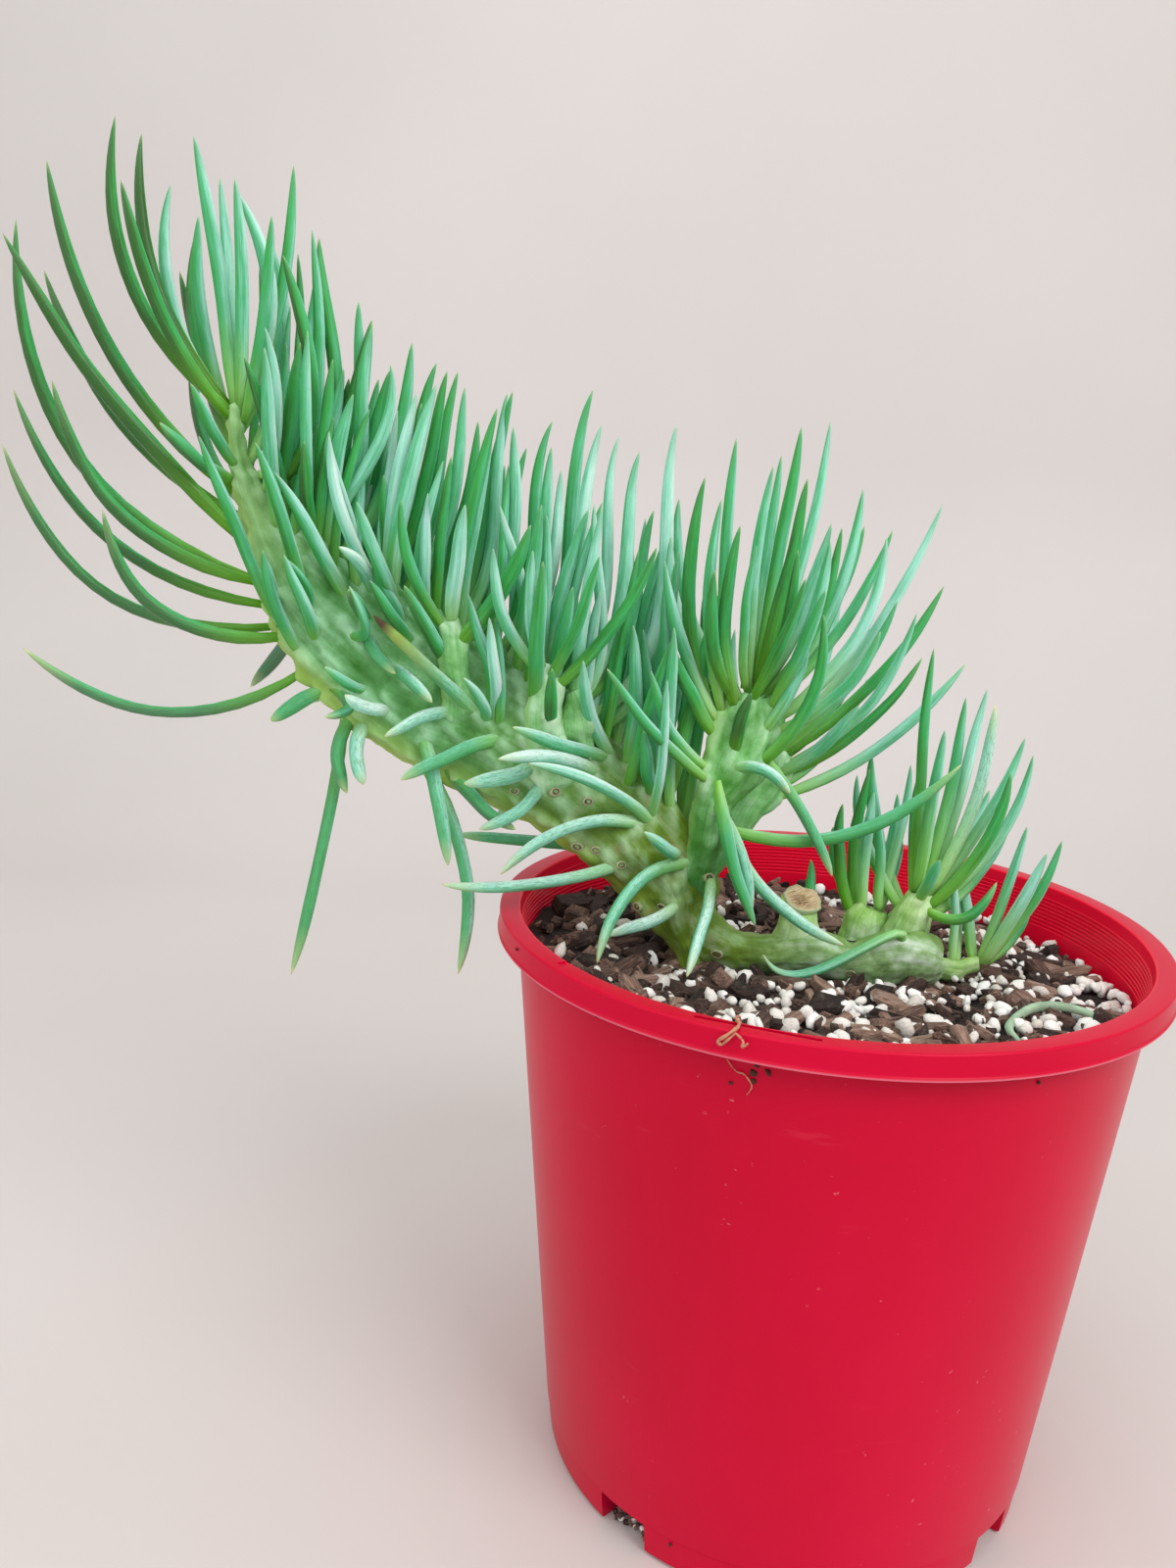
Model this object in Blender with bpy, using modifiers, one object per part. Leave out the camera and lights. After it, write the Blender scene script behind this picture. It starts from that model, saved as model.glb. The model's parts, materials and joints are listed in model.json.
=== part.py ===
"""A crested senecio in a red nursery pot.

Sizes and places are in millimetres, and meshes are made from them in metres.
The origin is the middle of the pot's underside, +Z is up, and the crest leans towards -X.
The front of the plant faces -Y.
"""

import math
import random

import bmesh
import bpy
import numpy as np
from mathutils import Matrix, Vector, noise

MM = 0.001
GAP = 0.3
SEED = 11

# Pot
RIM_RADIUS = 100.0
RIM_INNER_RADIUS = 93.2
POT_HEIGHT = 177.0
LIP_HEIGHT = 7.0
LIP_BEAD = 0.3
BEAD_HEIGHT = 1.2
BEAD_SLOPE = 0.4
RIM_ROUNDING = 0.7
SKIRT = 1.8
SHOULDER_RADIUS = 93.8
FOOT_RADIUS = 76.9
FOOT_BAND = 10.5
FOOT_STEP = 0.4
WALL = 1.9
FLOOR = 2.4
POT_STEPS = 40
POT_SHARP_ANGLE = math.radians(30.0)

# Drain notches moulded into the foot of the wall
NOTCHES = 4
FIRST_NOTCH = math.radians(-134.0)
NOTCH_WIDTH = 17.0
NOTCH_HEIGHT = 10.0
NOTCH_INNER_RADIUS = 65.0
POCKET_WALL = 1.6
DRAIN_WIDTH = 11.0
DRAIN_BOTTOM = 3.4
DRAIN_TOP = 8.4

# Potting mix
SOIL_LEVEL = 161.5
SOIL_SLOPE = 0.03
SOIL_RELIEF = 1.6
SOIL_LUMP = 22.0
SOIL_SIDES = 32
SOIL_RINGS = (1.0, 0.86, 0.7, 0.54, 0.38, 0.22, 0.08)
CHIP_REACH = 82.0
CHIP_LENGTH = (7.0, 14.0)
CHIP_WIDTH = (4.5, 8.0)
CHIP_HEIGHT = (2.4, 3.6)
CHIP_RISE = 0.5
CHIP_TILT = 0.35
GRAIN_REACH = 85.0
GRAIN_RADIUS = (1.8, 3.4)
GRAIN_RISE = 0.35
BARK_CHIPS = 28
PERLITE_GRAINS = 18
BIT_CLEARANCE = 1.0
HOLE_CLEARANCE = 0.6

# The eye that the plant's lists are drawn for: each list gives x and z as seen from
# here on the plane y = 0, with the depth behind that plane apart
EYE = Vector((-74.7, -366.9, 296.8))

# Crest, from the soil to the tip of its end shoot: lower edge, upper edge, half thickness
CREST = [
    ((-47, 143), (-33, 143), 7.0),
    ((-45, 159), (-32, 160), 8.5),
    ((-52, 168), (-33, 176), 9.0),
    ((-60, 177), (-34, 192), 9.5),
    ((-70, 185), (-46, 207), 9.5),
    ((-82, 194), (-61, 222), 9.0),
    ((-94, 201), (-77, 236), 8.5),
    ((-106, 206), (-92, 248), 8.0),
    ((-119, 212), (-108, 257), 8.0),
    ((-132, 218), (-124, 265), 8.0),
    ((-145, 227), (-139, 273), 7.5),
    ((-156, 237), (-150, 281), 7.0),
    ((-166, 249), (-158, 286), 6.5),
    ((-173, 262), (-164, 289), 5.5),
    ((-178, 278), (-168, 293), 4.8),
    ((-181, 293), (-172, 300), 4.2),
    ((-183, 306), (-175, 309), 3.6),
    ((-182, 316), (-177, 317), 2.4),
]
CREST_SIDES = 10
BRANCH_SIDES = 8
WAVE_HEIGHT = 5.0
WAVE_LENGTH = 2.6
WAVE_START = 2.0
WAVE_FULL_WIDTH = 40.0
EDGE_THINNING = 0.35

# Fan branch and the lobe behind it: centre, half width, half thickness, depth
FAN = [
    ((-41, 183), 5.5, 5.0, -2),
    ((-39, 198), 5.2, 5.0, -4),
    ((-38, 209), 5.4, 4.8, -6),
    ((-34, 218), 7.0, 4.8, -7),
    ((-31, 226), 9.0, 4.6, -8),
    ((-29, 234), 10.5, 3.8, -8),
    ((-29, 240), 8.0, 3.0, -8),
    ((-29, 245), 3.5, 1.8, -8),
]
REAR_LOBE = [
    ((-39, 187), 5.2, 5.0, 1),
    ((-33, 198), 5.5, 5.0, 4),
    ((-28, 209), 7.0, 4.5, 7),
    ((-23, 219), 8.0, 4.0, 9),
    ((-20, 227), 5.5, 2.2, 10),
]
# Folds of the crest that stand out of its front, with leaves at their tops
LEFT_FOLD = [
    ((-112, 226), 6.0, 5.0, -4),
    ((-114, 236), 5.5, 4.5, -6),
    ((-116, 246), 5.0, 4.0, -9),
    ((-117, 255), 4.2, 3.2, -10),
    ((-117, 261), 2.2, 1.8, -10),
]
MIDDLE_FOLD = [
    ((-82, 204), 8.0, 5.0, -4),
    ((-85, 214), 7.2, 5.0, -6),
    ((-88, 225), 6.4, 4.6, -9),
    ((-89, 234), 6.0, 4.0, -11),
    ((-89, 243), 4.6, 3.2, -11),
    ((-89, 249), 2.4, 1.8, -11),
]
CREST_BRANCHES = (FAN, REAR_LOBE, LEFT_FOLD, MIDDLE_FOLD)
# Creeping stem, from the crest's foot to its blunt end: centre, half height, half thickness
CREEPER = [
    ((-31, 163), 3.5, 4.0, -2),
    ((-27, 163), 7.5, 7.5, -3),
    ((-14, 164), 9.5, 10.0, -4),
    ((0, 163), 9.5, 11.0, -4),
    ((12, 163), 9.0, 11.0, -4),
    ((24, 164), 9.5, 11.5, -4),
    ((33, 164), 8.5, 10.0, -4),
    ((38, 163), 5.0, 6.0, -4),
]
# Short growths on the creeping stem: the pruned stump and the bases of three offsets
STUMP = [((-9, 166), 7.0, 6.5, 0), ((-9, 175), 5.6, 5.4, -2), ((-8, 182), 5.0, 4.8, -4)]
FIRST_OFFSET = [((12, 168), 8.5, 7.0, 3), ((13, 176), 7.5, 6.0, 3), ((14, 180), 5.0, 4.0, 3)]
SECOND_OFFSET = [((24, 168), 9.0, 8.0, -1), ((27, 178), 7.5, 7.0, -1), ((29, 186), 5.0, 4.5, -1)]
THIRD_OFFSET = [((32, 162), 4.5, 4.5, 0), ((42, 161), 4.0, 4.2, 0), ((50, 164), 3.4, 3.4, 0)]

# Leaves set one by one: root, middle and tip as seen, then the depth of the tip
SHOOT_LEAVES = [
    ((-180, 315), (-208, 349), (-211, 391), -4),
    ((-180, 316), (-202, 351), (-204, 387), 6),
    ((-179, 294), (-218, 338), (-230, 379), 10),
    ((-181, 314), (-202, 347), (-210, 375), -14),
    ((-181, 319), (-198, 349), (-197, 375), 12),
    ((-180, 318), (-184, 353), (-190, 387), -8),
    ((-179, 316), (-181, 348), (-183, 377), 8),
    ((-178, 316), (-177, 348), (-179, 377), -12),
    ((-181, 314), (-189, 343), (-189, 367), 20),
    ((-175, 317), (-170, 350), (-179, 374), 3),
    ((-175, 314), (-166, 352), (-163, 381), 12),
    ((-175, 314), (-171, 344), (-169, 368), -12),
    ((-159, 285), (-156, 330), (-158, 365), 5),
    ((-158, 298), (-153, 339), (-156, 363), 16),
    ((-165, 299), (-159, 333), (-166, 358), -8),
    ((-167, 297), (-168, 319), (-171, 339), -14),
    ((-176, 266), (-227, 305), (-239, 364), 4),
    ((-178, 281), (-216, 320), (-243, 360), -12),
    ((-180, 286), (-213, 313), (-232, 351), 14),
    ((-176, 268), (-215, 288), (-231, 322), -8),
    ((-172, 261), (-220, 282), (-242, 319), 8),
    ((-171, 255), (-217, 263), (-246, 304), -2),
    ((-169, 251), (-204, 260), (-218, 287), -14),
    ((-160, 242), (-203, 229), (-243, 246), 2),
    ((-181, 296), (-191, 303), (-201, 312), -16),
    ((-169, 257), (-180, 284), (-190, 309), -20),
    ((-179, 302), (-186, 311), (-192, 323), -20),
    ((-165, 285), (-170, 312), (-177, 331), -20),
    ((-159, 268), (-166, 286), (-174, 308), -26),
    ((-147, 264), (-159, 284), (-169, 300), -24),
    ((-158, 280), (-159, 295), (-160, 309), -16),
]
CREST_LEAVES = [
    ((-156, 286), (-153, 306), (-149, 329), 2),
    ((-147, 281), (-150, 297), (-153, 312), -16),
    ((-149, 290), (-144, 321), (-145, 347), 8),
    ((-148, 294), (-144, 319), (-141, 341), -4),
    ((-148, 294), (-138, 311), (-136, 331), -10),
    ((-140, 291), (-133, 314), (-130, 337), 4),
    ((-134, 284), (-129, 304), (-127, 321), -10),
    ((-134, 284), (-128, 311), (-123, 332), 10),
    ((-132, 279), (-124, 309), (-120, 330), -2),
    ((-127, 276), (-121, 307), (-117, 330), 6),
    ((-125, 274), (-117, 302), (-115, 326), -10),
    ((-122, 269), (-114, 295), (-111, 317), 2),
    ((-110, 267), (-105, 300), (-103, 325), 4),
    ((-104, 267), (-100, 296), (-101, 316), -8),
    ((-96, 265), (-94, 296), (-90, 318), 8),
    ((-95, 265), (-91, 291), (-90, 311), -6),
    ((-92, 259), (-88, 282), (-87, 305), 0),
    ((-88, 259), (-83, 303), (-79, 327), 10),
    ((-87, 254), (-80, 292), (-76, 318), -2),
    ((-74, 247), (-74, 271), (-77, 296), -12),
    ((-74, 260), (-73, 291), (-71, 315), 6),
    ((-69, 258), (-67, 287), (-65, 311), -4),
    ((-67, 255), (-63, 277), (-60, 295), 14),
    ((-58, 256), (-56, 293), (-55, 319), 6),
    ((-55, 256), (-53, 272), (-52, 284), -10),
    ((-96, 259), (-99, 278), (-104, 294), -18),
    ((-134, 260), (-139, 277), (-145, 293), -20),
    ((-117, 243), (-125, 259), (-131, 270), -24),
    ((-106, 232), (-128, 252), (-140, 271), -22),
    ((-138, 262), (-148, 286), (-153, 311), -18),
    ((-167, 301), (-170, 310), (-172, 316), -18),
    ((-142, 265), (-144, 275), (-150, 280), -22),
    ((-143, 258), (-145, 264), (-147, 268), -20),
    ((-168, 256), (-170, 269), (-172, 277), -18),
    ((-159, 258), (-161, 270), (-166, 276), -22),
    ((-102, 232), (-104, 247), (-106, 262), -20),
    ((-105, 235), (-108, 254), (-113, 268), -24),
    ((-93, 242), (-92, 259), (-90, 273), -20),
    ((-74, 232), (-78, 260), (-77, 273), -14),
    ((-70, 222), (-76, 237), (-78, 251), -20),
    ((-84, 230), (-87, 238), (-87, 248), -24),
    ((-70, 226), (-69, 249), (-68, 261), -8),
    ((-60, 221), (-62, 243), (-64, 262), -12),
    ((-47, 206), (-52, 229), (-53, 250), -14),
    ((-53, 212), (-57, 220), (-59, 231), -18),
    ((-43, 204), (-42, 238), (-40, 265), 6),
    ((-50, 210), (-57, 233), (-61, 261), -4),
    ((-44, 204), (-47, 230), (-49, 258), 12),
    ((-40, 198), (-44, 225), (-47, 255), 20),
    ((-55, 214), (-56, 240), (-57, 272), 10),
]
LIMP_LEAVES = [
    ((-155, 236), (-164, 232), (-170, 228), -4),
    ((-148, 230), (-150, 218), (-147, 207), -9),
    ((-141, 228), (-144, 219), (-142, 210), -13),
    ((-150, 232), (-154, 192), (-164, 148), -4),
    ((-131, 218), (-111, 186), (-112, 151), -6),
    ((-126, 227), (-120, 209), (-116, 186), -16),
    ((-101, 227), (-117, 220), (-131, 212), -19),
    ((-114, 237), (-126, 231), (-136, 225), -20),
    ((-88, 222), (-98, 215), (-112, 212), -17),
    ((-84, 217), (-94, 206), (-107, 198), -14),
    ((-70, 221), (-85, 226), (-98, 230), -24),
    ((-68, 218), (-87, 221), (-102, 220), -26),
    ((-54, 198), (-78, 201), (-100, 184), -20),
    ((-66, 197), (-92, 195), (-114, 196), 10),
    ((-52, 195), (-80, 183), (-118, 180), -14),
    ((-52, 201), (-70, 214), (-93, 220), -19),
    ((-40, 190), (-61, 180), (-69, 153), -38),
    ((-42, 178), (-53, 172), (-67, 166), -24),
    ((-38, 187), (-37, 171), (-41, 150), -42),
    ((-44, 194), (-50, 195), (-57, 200), -26),
    ((-120, 214), (-106, 205), (-96, 198), -12),
]
FAN_LEAVES = [
    ((-39, 233), (-48, 268), (-46, 305), -12),
    ((-37, 237), (-42, 266), (-41, 299), -20),
    ((-35, 240), (-39, 279), (-38, 316), 0),
    ((-32, 238), (-37, 266), (-35, 292), -26),
    ((-29, 245), (-30, 278), (-27, 309), -16),
    ((-30, 248), (-27, 281), (-25, 312), -4),
    ((-27, 245), (-23, 286), (-20, 320), 4),
    ((-26, 245), (-21, 277), (-17, 306), -16),
    ((-25, 245), (-16, 285), (-12, 322), 12),
    ((-26, 245), (-20, 265), (-18, 286), -26),
    ((-22, 238), (-15, 256), (-9, 275), -24),
    ((-21, 240), (-12, 265), (-9, 289), -12),
    ((-20, 241), (-11, 266), (-6, 293), -2),
    ((-20, 239), (-6, 272), (-1, 304), 8),
    ((-18, 235), (0, 259), (7, 291), -8),
    ((-18, 230), (-1, 246), (8, 264), -18),
    ((-39, 234), (-50, 259), (-56, 281), -16),
    ((-38, 215), (-57, 232), (-71, 249), -28),
    ((-38, 220), (-51, 232), (-58, 249), -22),
    ((-40, 231), (-46, 243), (-53, 257), -16),
    ((-22, 224), (-8, 206), (1, 189), -17),
    ((-33, 221), (-24, 221), (-14, 214), -19),
    ((-37, 212), (-29, 198), (-23, 174), -20),
    ((-38, 204), (2, 201), (38, 225), -18),
    ((-30, 207), (-18, 182), (7, 167), -20),
]
REAR_LOBE_LEAVES = [
    ((-21, 228), (5, 262), (22, 301), 12),
    ((-17, 229), (1, 249), (12, 273), 4),
    ((-19, 225), (7, 248), (25, 278), 20),
    ((-18, 222), (6, 241), (18, 270), 6),
    ((-20, 219), (5, 234), (21, 257), 14),
    ((-22, 212), (11, 230), (34, 256), 14),
    ((-19, 219), (-6, 229), (4, 242), 0),
]
FIRST_OFFSET_LEAVES = [
    ((7, 178), (7, 202), (9, 223), 8),
    ((8, 177), (3, 192), (2, 212), 2),
    ((11, 178), (10, 197), (11, 216), -3),
    ((15, 178), (15, 192), (13, 210), 2),
    ((17, 178), (20, 200), (21, 225), 9),
    ((16, 177), (18, 198), (18, 216), 15),
]
SECOND_OFFSET_LEAVES = [
    ((27, 184), (24, 227), (24, 260), 0),
    ((27, 187), (29, 218), (30, 236), -8),
    ((29, 187), (34, 222), (35, 246), 3),
    ((31, 186), (38, 225), (41, 249), 9),
    ((31, 184), (43, 225), (44, 244), -5),
    ((28, 182), (31, 190), (33, 196), -12),
    ((29, 181), (40, 177), (51, 190), -14),
    ((30, 182), (45, 208), (54, 235), -2),
    ((31, 181), (48, 200), (57, 230), 6),
    ((29, 181), (45, 199), (51, 224), -9),
]
THIRD_OFFSET_LEAVES = [
    ((49, 164), (54, 186), (58, 208), -4),
    ((50, 164), (58, 181), (65, 200), -8),
    ((50, 164), (62, 182), (69, 204), 2),
    ((50, 164), (58, 173), (62, 182), 6),
]
SMALL_CREEPER_LEAVES = [
    ((-7, 180), (-6, 187), (-7, 193), -3),
    ((23, 172), (5, 161), (-18, 163), -18),
]

# Shed leaf on the potting mix: its middle line from above
FALLEN_LEAF = [(42, -59), (44, -46), (50, -38), (58, -33), (66, -35), (71, -43)]
FALLEN_HALF_WIDTH = 1.65
FALLEN_SIDES = 6
FALLEN_RINGS = 12
FALLEN_PROBES = 40

# Leaf shape: half widths, thickness share, where it is widest, and how slim the root is
SHOOT_HALF_WIDTH = 1.95
CREST_HALF_WIDTH = 1.95
LIMP_HALF_WIDTH = 2.05
FAN_HALF_WIDTH = 1.8
FILL_HALF_WIDTH = 1.75
LEAF_FLATNESS = 0.82
WIDEST = 0.35
ROOT_SHARE = 0.76
TIP_SHARPNESS = 6
TIP_FULLNESS = 0.7
LEAF_SIDES = 4
LEAF_SHARP_ANGLE = math.radians(60.0)
TANGENT_STEP = 0.02

# Places of a leaf's rings for how far it bows, as a share of its length
LEAF_STATIONS = (
    (0.16, (0.0, 0.2, 0.4, 0.6, 0.8, 0.93)),
    (0.07, (0.0, 0.32, 0.62, 0.86)),
    (0.0, (0.0, 0.42, 0.78)),
)

# Roots of the leaves set one by one, inside their stem and on its skin
CORE_SHARES = (0.12, 0.3, 0.5, 0.7, 0.88)
CORE_STEPS = 4
FULL_LEAN = 14.0
ROOT_INSIDE = 0.55
ROOT_SKIN = 1.05
MIDDLE_DEPTH = 0.62
SHORT_ROOT = 6.0

# Leaves that fill the stems: how far they sink, how they turn up, and where they stand
LEAF_SINK = 3.0
LOWER_HALF_OUT = 0.55
UPPER_HALF_OUT = 0.12
LOWER_HALF = 0.45
CREST_FILL_ANGLES = (-12.0, 22.0, 54.0)
CREST_FILL_JITTER = 15.0
CREST_FILL_START = 4.2
CREST_FILL_STAGGER = 0.17
CREST_FILL_END = 13.4
FILL_SPACING = 0.9
EDGE_LEAF = 70.0
FACE_LEAF = 48.0
BACK_LEAVES = 8
BACK_START = 4.0
BACK_LENGTH = 8.0
END_SHOOT_LEAVES = 9
END_SHOOT_START = 13.2
END_SHOOT_LENGTH = 3.6
GOLDEN_SHARE = 0.618

# Leaves that fill a branch: count, first and last angle, and length
FAN_FILL = (7, 20.0, 160.0, 64.0)
FAN_FRONT_FILL = (4, 225.0, 315.0, 50.0)
REAR_LOBE_FILL = (6, 20.0, 150.0, 60.0)
LEFT_FOLD_FILL = (3, 190.0, 350.0, 44.0)
MIDDLE_FOLD_FILL = (4, 185.0, 355.0, 50.0)
FIRST_OFFSET_FILL = (4, 20.0, 160.0, 36.0)
SECOND_OFFSET_FILL = (6, 10.0, 170.0, 52.0)
THIRD_OFFSET_FILL = (3, 110.0, 200.0, 34.0)

# Room kept between leaves, and between the two plants
LEAF_SAMPLES = 16
FREE_FROM = 6
BEND_STEP = 1.8
BEND_TRIES = 15
PLANT_CLEARANCE = 1.2
SOIL_ROOM = 2.8


def placed(seen, depth):
    """The point at this depth that hides behind, or in front of, the seen (x, z)."""
    on_plane = Vector((seen[0], 0.0, seen[1]))
    return EYE + (on_plane - EYE) * ((depth - EYE.y) / -EYE.y)


def mixed(values, at):
    """A smooth curve through the values, read at a whole or broken index."""
    first = max(0, min(int(at), len(values) - 2))
    part = at - first
    near = [values[max(0, min(i, len(values) - 1))] for i in range(first - 1, first + 3)]
    before, start, end, after = near
    return 0.5 * (
        2.0 * start
        + (end - before) * part
        + (2.0 * before - 5.0 * start + 4.0 * end - after) * part**2
        + (3.0 * start - before - 3.0 * end + after) * part**3
    )


def soil_height(x, y):
    lumps = noise.noise(Vector((x, y, 0.0)) / SOIL_LUMP)
    return SOIL_LEVEL - SOIL_SLOPE * (x + y) + SOIL_RELIEF * lumps


def wall_radius(z):
    """Outer radius of the tapered wall."""
    return FOOT_RADIUS + (SHOULDER_RADIUS - FOOT_RADIUS) * z / (POT_HEIGHT - LIP_HEIGHT)


# Stems


def crest_point(at, angle):
    """A point of the crest's skin: angle 0 is its growing edge, and -90 degrees faces the viewer."""
    lower = mixed([Vector(row[0]) for row in CREST], at)
    upper = mixed([Vector(row[1]) for row in CREST], at)
    thick = mixed([row[2] for row in CREST], at)
    middle = (lower + upper) / 2.0 + (upper - lower) / 2.0 * math.cos(angle)
    towards_edge = (1.0 + math.cos(angle)) / 2.0
    fold = min(1.0, (upper - lower).length / WAVE_FULL_WIDTH) ** 2 * WAVE_HEIGHT * towards_edge**2
    wave = fold * math.sin(math.tau * (at - WAVE_START) / WAVE_LENGTH)
    depth = math.sin(angle) * thick * (1.0 - EDGE_THINNING * math.cos(angle)) + wave
    return placed(middle, depth)


def branch_point(rows, at, angle):
    """A point of a branch's skin: angle 0 is its right side, and -90 degrees faces the viewer."""
    centres = [Vector(row[0]) for row in rows]
    centre = mixed(centres, at)
    step = mixed(centres, min(at + 0.5, len(rows) - 1)) - mixed(centres, max(at - 0.5, 0))
    across = Vector((step.y, -step.x)).normalized()
    width = mixed([row[1] for row in rows], at)
    thick = mixed([row[2] for row in rows], at)
    depth = mixed([row[3] for row in rows], at)
    return placed(centre + across * width * math.cos(angle), depth + thick * math.sin(angle))


def crest_rings(sides):
    angles = [math.tau * side / sides for side in range(sides)]
    return [[crest_point(at, angle) for angle in angles] for at in range(len(CREST))]


def branch_rings(rows, sides):
    angles = [math.tau * side / sides for side in range(sides)]
    return [[branch_point(rows, at, angle) for angle in angles] for at in range(len(rows))]


def grown(rings, by):
    """The same rings, moved out from their centres by a clearance, and longer by it at both ends."""
    centres = [sum(ring, Vector()) / len(ring) for ring in rings]
    wider = []
    for ring, centre in zip(rings, centres):
        wider.append([point + (point - centre).normalized() * by for point in ring])
    before = (centres[0] - centres[1]).normalized() * by
    after = (centres[-1] - centres[-2]).normalized() * by
    first = [point + before for point in wider[0]]
    last = [point + after for point in wider[-1]]
    return [first, *wider, last]


# Leaves


def leaf_curve(points, at):
    """The leaf's middle line, one smooth bow through its points as at goes from 0 to 1."""
    knots = [0.0]
    for start, end in zip(points, points[1:]):
        knots.append(knots[-1] + (end - start).length)
    place = at * knots[-1]
    result = Vector()
    for own, point in zip(knots, points):
        weight = 1.0
        for other in knots:
            if other != own:
                weight *= (place - other) / (own - other)
        result += point * weight
    return result


def leaf_width(at):
    """Share of the full half width, slim at the root and pointed at the tip."""
    root = ROOT_SHARE + (1.0 - ROOT_SHARE) * min(1.0, at / WIDEST)
    return root * (1.0 - at**TIP_SHARPNESS) ** TIP_FULLNESS


def leaf_frame(points, at):
    """Two directions square to the leaf: across it, and through its thickness."""
    before = leaf_curve(points, max(0.0, at - TANGENT_STEP))
    after = leaf_curve(points, min(1.0, at + TANGENT_STEP))
    along = (after - before).normalized()
    side = along.cross(Vector((0.0, 1.0, 0.0)))
    if side.length < 0.2:
        side = along.cross(Vector((1.0, 0.0, 0.0)))
    side.normalize()
    return side, side.cross(along)


def leaf_rings(leaf, sides, stations):
    points, width = leaf
    rings = []
    for at in stations:
        side, through = leaf_frame(points, at)
        centre = leaf_curve(points, at)
        half = width * leaf_width(at)
        ring = []
        for index in range(sides):
            turn = math.tau * index / sides
            across = side * math.cos(turn) + through * LEAF_FLATNESS * math.sin(turn)
            ring.append(centre + across * half)
        rings.append(ring)
    return rings


def nearest_core(seen, core):
    """The core point nearest to a seen place, as (x, z), depth and half thickness."""
    return min(core, key=lambda spot: (Vector(spot[0]) - Vector(seen)).length)


def crest_core():
    """Points inside the crest, from its lower ridge nearly to its growing edge."""
    spots = []
    for step in range(CORE_STEPS * (len(CREST) - 1) + 1):
        at = step / CORE_STEPS
        lower = mixed([Vector(row[0]) for row in CREST], at)
        upper = mixed([Vector(row[1]) for row in CREST], at)
        for share in CORE_SHARES:
            angle = math.acos(2.0 * share - 1.0)
            skin = crest_point(at, -angle)
            back = crest_point(at, angle)
            spots.append((lower.lerp(upper, share), (skin.y + back.y) / 2.0, (back.y - skin.y) / 2.0))
    return spots


def branch_core(rows):
    """Points inside a branch, from side to side."""
    spots = []
    for step in range(CORE_STEPS * (len(rows) - 1) + 1):
        at = step / CORE_STEPS
        centre = mixed([Vector(row[0]) for row in rows], at)
        width = mixed([row[1] for row in rows], at)
        thick = mixed([row[2] for row in rows], at)
        depth = mixed([row[3] for row in rows], at)
        for core_share in CORE_SHARES:
            share = 2.0 * core_share - 1.0
            place = centre + Vector((width * share, 0.0))
            spots.append((place, depth, thick * math.sqrt(1.0 - share * share)))
    return spots


def set_leaf(row, core, half_width, draw):
    """A leaf from its row, rooted inside the stem and passing its seen root on the way out."""
    root, middle, tip, tip_depth = row
    spot, depth, thick = nearest_core(root, core)
    towards = max(-1.0, min(1.0, (tip_depth - depth) / FULL_LEAN))
    start = placed(spot, depth + ROOT_INSIDE * thick * towards)
    root_depth = depth + ROOT_SKIN * thick * towards
    middle_depth = root_depth + MIDDLE_DEPTH * (tip_depth - root_depth)
    points = [start]
    seen_root = placed(root, root_depth)
    if (seen_root - start).length > SHORT_ROOT:
        points.append(seen_root)
    points += [placed(middle, middle_depth), placed(tip, tip_depth)]
    return points, half_width * draw.uniform(0.88, 1.12)


def fill_leaf(root, inside, out, up, length, draw):
    """A leaf rooted towards the inside of its stem, which leaves along out and bends to up."""
    inward = inside - root
    start = root + inward.normalized() * min(LEAF_SINK, 0.5 * inward.length)
    lower_way = up.lerp(out, LOWER_HALF_OUT).normalized()
    upper_way = up.lerp(out, UPPER_HALF_OUT).normalized()
    middle = root + lower_way * length * LOWER_HALF
    tip = middle + upper_way * length * (1.0 - LOWER_HALF)
    return [start, middle, tip], FILL_HALF_WIDTH * draw.uniform(0.75, 1.3)


def crest_fill(draw):
    """Rows of upright leaves on both faces and along the growing edge of the crest."""
    leaves = []
    for row, degrees in enumerate(CREST_FILL_ANGLES):
        at = CREST_FILL_START + CREST_FILL_STAGGER * (row % 3)
        while at < CREST_FILL_END:
            angle = math.radians(degrees + draw.uniform(-CREST_FILL_JITTER, CREST_FILL_JITTER))
            root = crest_point(at, angle)
            inside = (crest_point(at, 0.0) + crest_point(at, math.pi)) / 2.0
            out = Vector((0.0, root.y - inside.y, 6.0)).normalized()
            up = Vector((draw.uniform(-0.05, 0.32), draw.uniform(-0.16, 0.16), 1.0)).normalized()
            length = EDGE_LEAF + (FACE_LEAF - EDGE_LEAF) * math.sin(angle) ** 2
            length *= draw.uniform(0.58, 1.0)
            leaves.append(fill_leaf(root, inside, out, up, length, draw))
            at += FILL_SPACING * draw.uniform(0.8, 1.2)
    return leaves


def crest_back(draw):
    """Limp leaves on the back of the crest, like those on its front."""
    leaves = []
    for index in range(BACK_LEAVES):
        at = BACK_START + BACK_LENGTH * (index + draw.uniform(0.2, 0.8)) / BACK_LEAVES
        root = crest_point(at, math.radians(draw.uniform(85.0, 125.0)))
        inside = (crest_point(at, 0.0) + crest_point(at, math.pi)) / 2.0
        out = Vector((draw.uniform(-0.6, 0.2), 1.0, 0.1)).normalized()
        down = Vector((draw.uniform(-1.0, -0.3), 0.3, draw.uniform(-0.9, 0.3))).normalized()
        leaves.append(fill_leaf(root, inside, out, down, draw.uniform(28.0, 44.0), draw))
    return leaves


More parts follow.
